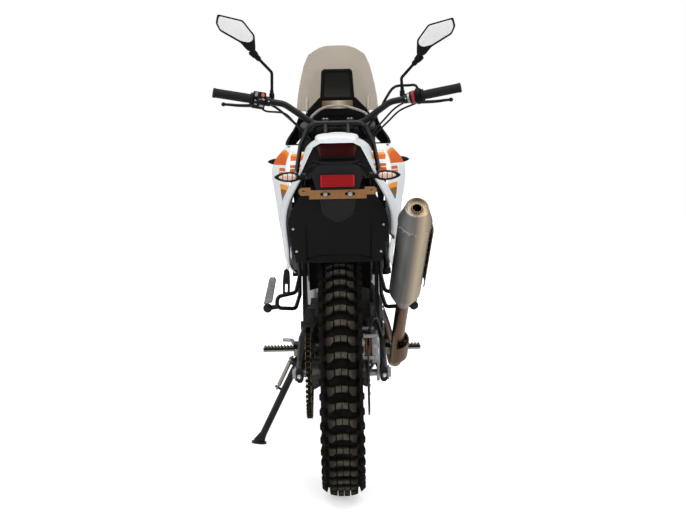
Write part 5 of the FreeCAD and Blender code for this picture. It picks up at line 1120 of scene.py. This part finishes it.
def mirrors():
    """Mirror heads: a bowed black shell with a bevelled rim, glass set back in it, a ball
    joint boot and a cranked stem; the left head stands higher than the right one."""
    def bowed(outline, *steps):
        """The outline drawn in about its middle by each step's scale, at the step's y."""
        middle = outline.mean(0)
        flats = [(middle + (outline - middle) * scale, y) for scale, y in steps]
        return loft(np.stack([np.column_stack([flat[:, 0], np.full(len(flat), y), flat[:, 1]])
                              for flat, y in flats]))

    def pair(shape):
        return joined(moved(shape, LEFT_MIRROR_RISE * UP),
                      flipped(moved(shape, RIGHT_MIRROR_RISE * UP)))

    shell = bowed(rounded(MIRROR, 7, 5), (0.9, 996.4), (0.955, 995.2), (0.985, 994.6), (1.0, 996),
                  (1.0, 1002), (0.93, 1010), (0.75, 1014.5), (0.4, 1015.8))
    glass = bowed(rounded(MIRROR_GLASS, 7, 5), (1.0, 996), (0.99, 994.4), (0.93, 994.1))
    stem = bends([(-221, 1032, 1146), (-219, 1032, 1216), (-282, 1010, 1284), (-290, 1006, 1296)],
                 14, 6)
    share = np.clip((stem[:, 2:] - 1150) / 66, 0, 1)
    left, right = (tube(stem + share * (rise * UP), 5, 14)
                   for rise in (LEFT_MIRROR_RISE, RIGHT_MIRROR_RISE))
    boot = turned((-258, 1018, 1258), (-0.66, -0.2, 0.72),
                  [(0, 5.4), (4, 8.5), (14, 9.6), (17, 8), (19, 11.5), (40, 13.5), (44, 10)], 18)
    nut = turned((-221, 1032, 1144), UP, [(0, 10), (18, 10), (20, 7.4), (30, 7), (31, 5)], 6)
    heads = joined(pair(joined(shell, boot)), both(nut), left, flipped(right))
    piece("mirror_shells", heads, "black_plastic", "steering", stands_for="mirrors", smooth=40)
    piece("mirror_glass", pair(glass), "glass", "steering", smooth=60)


def screen():
    """Windscreen: a bowed shell that closes in a shallow arc at the top."""
    share = np.linspace(-1, 1, 45)
    z = 1104 + np.linspace(0, 1, 34)[:, None] * (227 - 34 * np.abs(share) ** 4)
    half = np.interp(z, [1104, 1116, 1153, 1190, 1227, 1261, 1288, 1300, 1331],
                     [143, 142.4, 138, 131.4, 122.8, 113.6, 101, 94, 74])
    grid = np.stack([half * share, 1318 - (z - 1104) * 0.34 - 58 * share ** 2 + 0 * half, z], -1)
    piece("screen_shell", sheet(grid), "screen_tint", stands_for="windscreen", smooth=60, wall=3.0)


def display():
    """Instrument tower: glossy screen in a raised bezel, warm trim band, side wings and the
    dark base below with its bosses."""
    screen_face = crosswise(rounded([(-47, 1150), (47, 1150), (43, 1236), (-43, 1236)], 5), 1214.8,
                            1.4, 0.4)
    piece("display_glass", screen_face, "display")
    bezel = [(-52, 1146), (52, 1146), (47, 1241), (-47, 1241)]
    path = np.array([(x, 1214.5, z) for x, z in bezel + bezel[:1]])
    piece("display_bezel", tube(bends(path, 6), 2.2, 8), "black_plastic")
    band = crosswise(rounded([(-54, 1110), (54, 1110), (54, 1138), (-54, 1138)], 4), 1213.2, 2.6,
                     1.0)
    piece("display_band", band, "warm_trim")
    ribs = [both(tube([(-104, 1215.2, 1104), (-62, 1215.2, 1148)], 2.0, 8))]
    piece("display_wings", joined(*ribs), "satin_grey")
    base = crosswise(rounded([(-50, 1150), (50, 1150), (106, 1100), (112, 1056), (-112, 1056),
                              (-106, 1100)], 5), 1233, 12, 2)
    bosses = [turned((x, 1222, z), (0, -1, 0), [(0, 13), (3, 12), (4, 9), (2.4, 3), (2.4, 0.4)],
                     24) for x, z in ((-62, 1088), (62, 1088), (0, 1082))]
    struts = [tube([(s * 8, 1221, 1082), (s * 56, 1221, 1100)], 3, 8) for s in (1, -1)]
    piece("cockpit_base", joined(base, *bosses, *struts), "black_plastic")


# Seat and body

SEAT_SEAMS = (300, 120, 470)
SEAT_AROUND = 72
SEAT_SHOULDER = 8  # point of a section, 40 degrees up from its side


def seat():
    """Bench seat: rounded sections along the machine, with a soft crown and cross seams that
    draw the cover in."""
    rows = np.array([(650, 968, 58, 19), (560, 922, 84, 46), (400, 910, 104, 56),
                     (240, 918, 95, 55), (80, 928, 94, 52), (-60, 944, 88, 36)], float)
    line = curve(rows[::-1], 14)
    y, z, w, h = line.T
    pull = sum(np.exp(-((y - at) / 4.0) ** 2) for at in SEAT_SEAMS)
    w, h = w - 1.4 * pull, h - 2.2 * pull
    a = np.linspace(0, 2 * np.pi, SEAT_AROUND, endpoint=False)
    sx, sz = (np.sign(v) * np.abs(v) ** (2 / 3.4) for v in (np.cos(a), np.sin(a)))
    rings = np.stack([w[:, None] * sx, y[:, None] + 0 * sx, z[:, None] + h[:, None] * sz], -1)
    return rings, line


def seat_trim():
    """Seat cover over its foam, piping along both shoulders and stitched cross seams."""
    rings, line = seat()
    cushion = piece("seat_cushion", loft(rings), "seat_cover", stands_for="seat", smooth=60)
    welt = tube(rings[4:-6, SEAT_SHOULDER] + [0.4, 0, 0.4], 1.6, 6)
    seams = []
    for at in SEAT_SEAMS:
        j = int(np.argmin(np.abs(line[:, 0] - at)))
        top = rings[j, 3:34]
        seams.append(tube(top + (top - [0, line[j, 0], line[j, 1]]) * 0.004, 1.1, 6))
    piece("seat_piping", both(welt), "piping")
    piece("seat_seams", joined(*seams), "seat_cover")


def panel_returns():
    """Inner edges of the front panels: each turns in from the panel's rear edge towards the
    tank, level with the edge and 34 mm further forward at its inner side."""
    y = np.array([574, 577, 585, 600, 622, 650, 690, 730])
    z = np.array([800, 840, 868, 904, 930, 944.5, 957, 966])
    full = np.interp(z, [746, 842, 890, 930, 990], [207, 221, 229, 216, 172])
    grow = np.interp(y, [540, 700, 900], [0.62, 0.80, 0.96])
    outer = np.column_stack([-full * grow + 2.4, y + 1.0, z])
    inner = np.column_stack([-np.interp(z, [800, 900, 966], [126, 116, 108]), y + 34.0, z - 3.0])
    share = np.linspace(0, 1, 9)[:, None, None]
    grid = outer + (inner - outer) * share - np.array([0, 7.0, 0]) * np.sin(np.pi * share)
    piece("panel_returns", both(sheet(grid)), "return_stripes", smooth=60, wall=2.4)


def airbox():
    """Ribbed airbox halves on both sides of the shock, under the seat."""
    outline = rounded([(336, 648), (408, 566), (586, 560), (596, 722), (556, 800), (330, 806),
                       (306, 706)], 18)
    half = lengthwise(outline, 46, 52, 6)
    ribs = [tube([(98.6, y, 600), (98.6, y + 8, 780)], 2, 8) for y in (380, 430, 480, 530)]
    piece("airbox_halves", both(joined(half, *ribs)), "black_plastic")


def apron_wings():
    """Black fillets that close the gap between the rear apron and the side panels."""
    edge = rounded([(98, 846), (115, 834), (131, 806), (132, 753), (126, 700), (116, 668),
                    (98, 668)], 6)
    piece("apron_wings", both(crosswise(edge, -124, 3)), "black_plastic")


def passenger_pegs():
    """Looped brackets, each with a ribbed peg folded up on a dark pivot."""
    loop = tube(bends([(-118.5, 352, 792), (-120, 300, 600), (-132, 262, 552), (-186, 250, 542),
                       (-190, 250, 508), (-134, 262, 504), (-122, 320, 540), (-121.5, 440, 752)],
                      15, 6), 6, 14)
    bar = crosswise(rounded([(-228, 520), (-202, 526), (-189, 592), (-193, 601), (-206, 601),
                             (-210, 594)], 3), 254, 15, 2)
    ribs = [tube([(-224 + 3.0 * k, 238.6, 532 + 11 * k), (-205 + 2.4 * k, 238.6, 530 + 11 * k)],
                 1.4, 6) for k in range(6)]
    pivot = turned((-216, 260, 509), (0, -1, 0), [(0, 9), (3, 13), (20, 13.5), (24, 10), (25, 2)],
                   20)
    arm = tube([(-188, 250, 512), (-212, 250, 509)], 7, 12)
    piece("peg_loops", both(joined(loop, pivot, arm)), "frame_paint", stands_for="passenger_pegs")
    piece("peg_bars", both(joined(bar, *ribs)), "alloy")


def body_screws():
    """Pale screws on the cheeks beside the headlight."""
    heads = dome_heads([((-131, 1235.6, 1022), (0, -1, 0))], 4.2)
    piece("cheek_screws", both(heads), "lens_clear")


def brakes():
    """Rear caliper with its castings, pistons and copper-backed pads, bolts and the hose."""
    casting = rounded([(-92, 394), (-62, 376), (-24, 438), (-44, 474), (-86, 462)], 9)
    inboard = rounded([(-86, 400), (-62, 384), (-34, 436), (-50, 464), (-80, 456)], 8)
    arm = rounded([(-20, 336), (-64, 404), (-52, 450), (-30, 446), (20, 352)], 8)
    slabs = [lengthwise(casting, 82.6, 19, 3.5), lengthwise(inboard, 57, 11, 3),
             lengthwise(arm, 98.5, 8.6, 1.5)]
    posts = [tube([(60, y, z), (92, y, z)], 6, 14) for y, z in ((-44, 474), (-88, 458), (-90, 398))]
    pistons = [turned((101.6, y, z), ACROSS, [(0, 15), (2.4, 14), (3, 11), (3, 2), (3, 0.4)],
                      28) for y, z in ((-66, 414), (-56, 444))]
    boss = turned((98.6, 0, 345), ACROSS, [(0, 24), (8, 24)], 32)
    piece("rear_caliper_body", joined(*slabs, *posts, *pistons, boss), "alloy",
          stands_for="rear_caliper")
    heads = [((60, y, z), (0, -1, 0.2)) for y, z in ((-90, 440), (-90, 410))]
    heads += [((92, y, z), (0, -1, 0.1)) for y, z in ((-92, 430), (-88, 400))]
    piece("rear_caliper_bolts", hex_heads(heads, 4.6), "silver")
    pads = [lengthwise([(-90, 402), (-42, 402), (-46, 452), (-88, 452)], 75 + s * 4.6 - 1.2, 2.4,
                       0.4) for s in (1, -1)]
    piece("rear_pads", joined(*pads), "copper")
    for name, hub, x, radius, body in (("rear_disc_bolts", REAR_HUB, 77.6, 60, "rear_wheel"),
                                       ("front_disc_bolts", FRONT_HUB, -64.6, 66, "front_wheel")):
        bolt = dome_heads([((x, 0, radius), np.array([np.sign(x), 0, 0]))], 5)
        piece(name, around(bolt, np.arange(6) * 60.0, hub), "silver", body)
    hose = curve([(78, -84, 470), (86, -70, 498), (100, -10, 500), (112, 90, 462), (118, 220, 430),
                  (112, 380, 452), (104, 500, 470)])
    piece("rear_brake_hose", tube(hose, 3.4, 10), "rubber", smooth=80)


def engine_details():
    """Cover bolts, cover lids and hoses on the engine, and the radiators' fins."""
    rings = []
    for (y, z), r, count, x in (((820, 390), 64, 8, -122), ((730, 390), 74, 9, 132)):
        a = np.linspace(0, 2 * np.pi, count, endpoint=False)
        rings += [((x, y + r * math.cos(t), z + r * math.sin(t)), (np.sign(x), 0, 0)) for t in a]
    piece("cover_bolts", hex_heads(rings, 4.6), "silver")
    lids = [turned((-122, 820, 390), (-1, 0, 0),
                   [(0, 54), (2.4, 53), (3, 46), (3, 20), (5, 18), (5.4, 0.5)], 48),
            turned((132, 730, 390), (1, 0, 0),
                   [(0, 63), (3, 61), (4, 52), (4, 24), (6, 22), (6.4, 0.5)], 48)]
    piece("engine_lids", joined(*lids), "dark_alloy")
    fin = crosswise([(-100, 562), (-98, 562), (-98, 768), (-100, 768)], 1024.6, 1.4, 0.1)
    fins = [moved(fin, (dx, 0, 0)) for dx in np.arange(-66, 31, 4.0)]
    piece("radiator_fins", both(joined(*fins)), "alloy")
    hoses = [curve([(-70, 1040, 784), (-30, 1000, 760), (0, 940, 740), (10, 900, 716)]),
             curve([(72, 1040, 552), (96, 980, 500), (110, 920, 420), (112, 880, 372)])]
    piece("coolant_hoses", joined(*[tube(h, 13, 18) for h in hoses]), "rubber", smooth=80)
    clips = [turned(h[i], h[i + 1] - h[i], [(0, 13.2), (0, 14.4), (9, 14.4), (9, 13.2)], 20)
             for h in hoses for i in (2, len(h) - 5)]
    piece("hose_clips", joined(*clips), "silver")


def foot_parts():
    """Teeth on the rider's footpegs, and the slotted stop of the left folded peg."""
    tooth = turned((0, 0, 0), UP, [(0, 3.4), (4.6, 2.0)], 4)
    rows = [(x, y, 358.0) for x in np.arange(-240, -155, 10.0) for y in (512, 552)]
    teeth = copies(tooth, np.array(rows), np.broadcast_to(np.eye(3), (len(rows), 3, 3)))
    piece("peg_teeth", both(teeth), "silver")
    outer = rounded([(-171, 544), (-150, 544), (-148, 592), (-170, 592)], 4)
    inner = rounded([(-164, 554), (-157, 554), (-156, 578), (-163, 578)], 3)
    ring = loft(np.stack([np.column_stack([flat[:, 0], np.full(len(flat), y), flat[:, 1]])
                          for flat, y in ((outer, 258), (outer, 262), (inner, 262), (inner, 258))]),
                closed=True)
    top = crosswise(rounded([(-170, 590), (-148, 590), (-149, 616), (-157, 624), (-166, 620)], 4),
                    262, 4, 1)
    piece("peg_stop", joined(ring, top), "frame_paint")


for build in (rear_tyre, front_tyre, rim_fittings, wheel_nuts, chain, silencer, shield_trim,
              tail_details, tail_trim, signals, grips, controls, cockpit_cables, clamp_caps,
              mirrors, screen, display, seat_trim, panel_returns, airbox, apron_wings,
              passenger_pegs, body_screws, brakes, engine_details, foot_parts):
    build()


# Floor, light and camera

FOCAL_PX, PHOTO_WIDTH_PX = 1714, 686
FLOOR_TURN, LOOK_DOWN = 4.8, 3.92
EYE = Vector((-0.004, -4.8, 1.0))


def camera_rays(tree):
    """One for rays from the camera, also behind the screen, and zero for those of the light."""
    path = add_node(tree, "LightPath").outputs
    return math_node(tree, "MAXIMUM", path["Is Camera Ray"], path["Is Transmission Ray"])


def floor():
    """Flat white floor, 60 m square. To the camera it glows a little, and more with the
    distance from the machine, so that it reaches white and keeps a soft shadow below it."""
    side = np.array([-30.0, 0.0, 30.0])
    points, faces = sheet(np.stack(np.broadcast_arrays(side, side[:, None], 0.0), -1))
    mesh = bpy.data.meshes.new("floor")
    mesh.from_pydata(points.tolist(), [], faces[0].tolist())
    f = Finish("white floor", Roughness=0.9, Base_Color=colour(0.9), Specular_IOR_Level=0.0,
               Emission_Color=colour(1.0))
    away = add_node(f.tree, "VectorMath", {0: object_place(f.tree)}, operation="LENGTH")
    glow = f.span(away.outputs["Value"], 2.0, 5.0, 0.5, 1.0)
    f.set(Emission_Strength=f.math("MULTIPLY", camera_rays(f.tree), glow))
    mesh.materials.append(f.material)
    linked("floor", mesh)


def lamp(name, place, aim, size, power):
    data = bpy.data.lights.new(name, "AREA")
    data.shape = "RECTANGLE"
    data.size, data.size_y = size
    data.energy = power
    obj = linked(name, data)
    obj.location = place
    obj.rotation_mode = "QUATERNION"
    obj.rotation_quaternion = (Vector(aim) - Vector(place)).to_track_quat("-Z", "Y")


def studio():
    """Large soft lamps above and on both sides; the world is white to the camera and, for
    the light, brighter above than at the horizon."""
    lamp("overhead", (0.0, -0.4, 4.2), (0, 0, 0.6), (4.5, 5.0), 120)
    lamp("left", (-3.6, -3.0, 2.2), (0, -0.3, 0.7), (1.8, 2.6), 58)
    lamp("right", (3.6, -3.2, 1.8), (0, -0.3, 0.7), (1.4, 2.6), 52)
    world = bpy.data.worlds.new("studio")
    world.use_nodes = True
    tree = world.node_tree
    where = add_node(tree, "TexCoord").outputs["Generated"]
    height = add_node(tree, "SeparateXYZ", {0: where}).outputs["Z"]
    sky = span_node(tree, height, -0.4, 0.9, 0.22, 0.62)
    fill(tree, tree.nodes["Background"],
         {"Color": colour(1.0), "Strength": math_node(tree, "MAXIMUM", sky, camera_rays(tree))})
    bpy.context.scene.world = world


def camera():
    """Camera one metre up and 4.8 m behind the rear axle, level with the photograph's
    floor line, which is turned against the real floor."""
    data = bpy.data.cameras.new("camera")
    data.sensor_width = 36.0
    data.lens = data.sensor_width * FOCAL_PX / PHOTO_WIDTH_PX
    data.clip_end = 100.0
    obj = linked("camera", data)
    roll = Matrix.Rotation(-math.radians(FLOOR_TURN), 4, "Y")
    pitch = Matrix.Rotation(math.radians(90 - LOOK_DOWN), 4, "X")
    obj.matrix_world = Matrix.Translation(roll @ EYE + SHIFT) @ roll @ pitch
    bpy.context.scene.camera = obj


floor()
studio()
camera()
bpy.context.scene.view_settings.view_transform = "Standard"
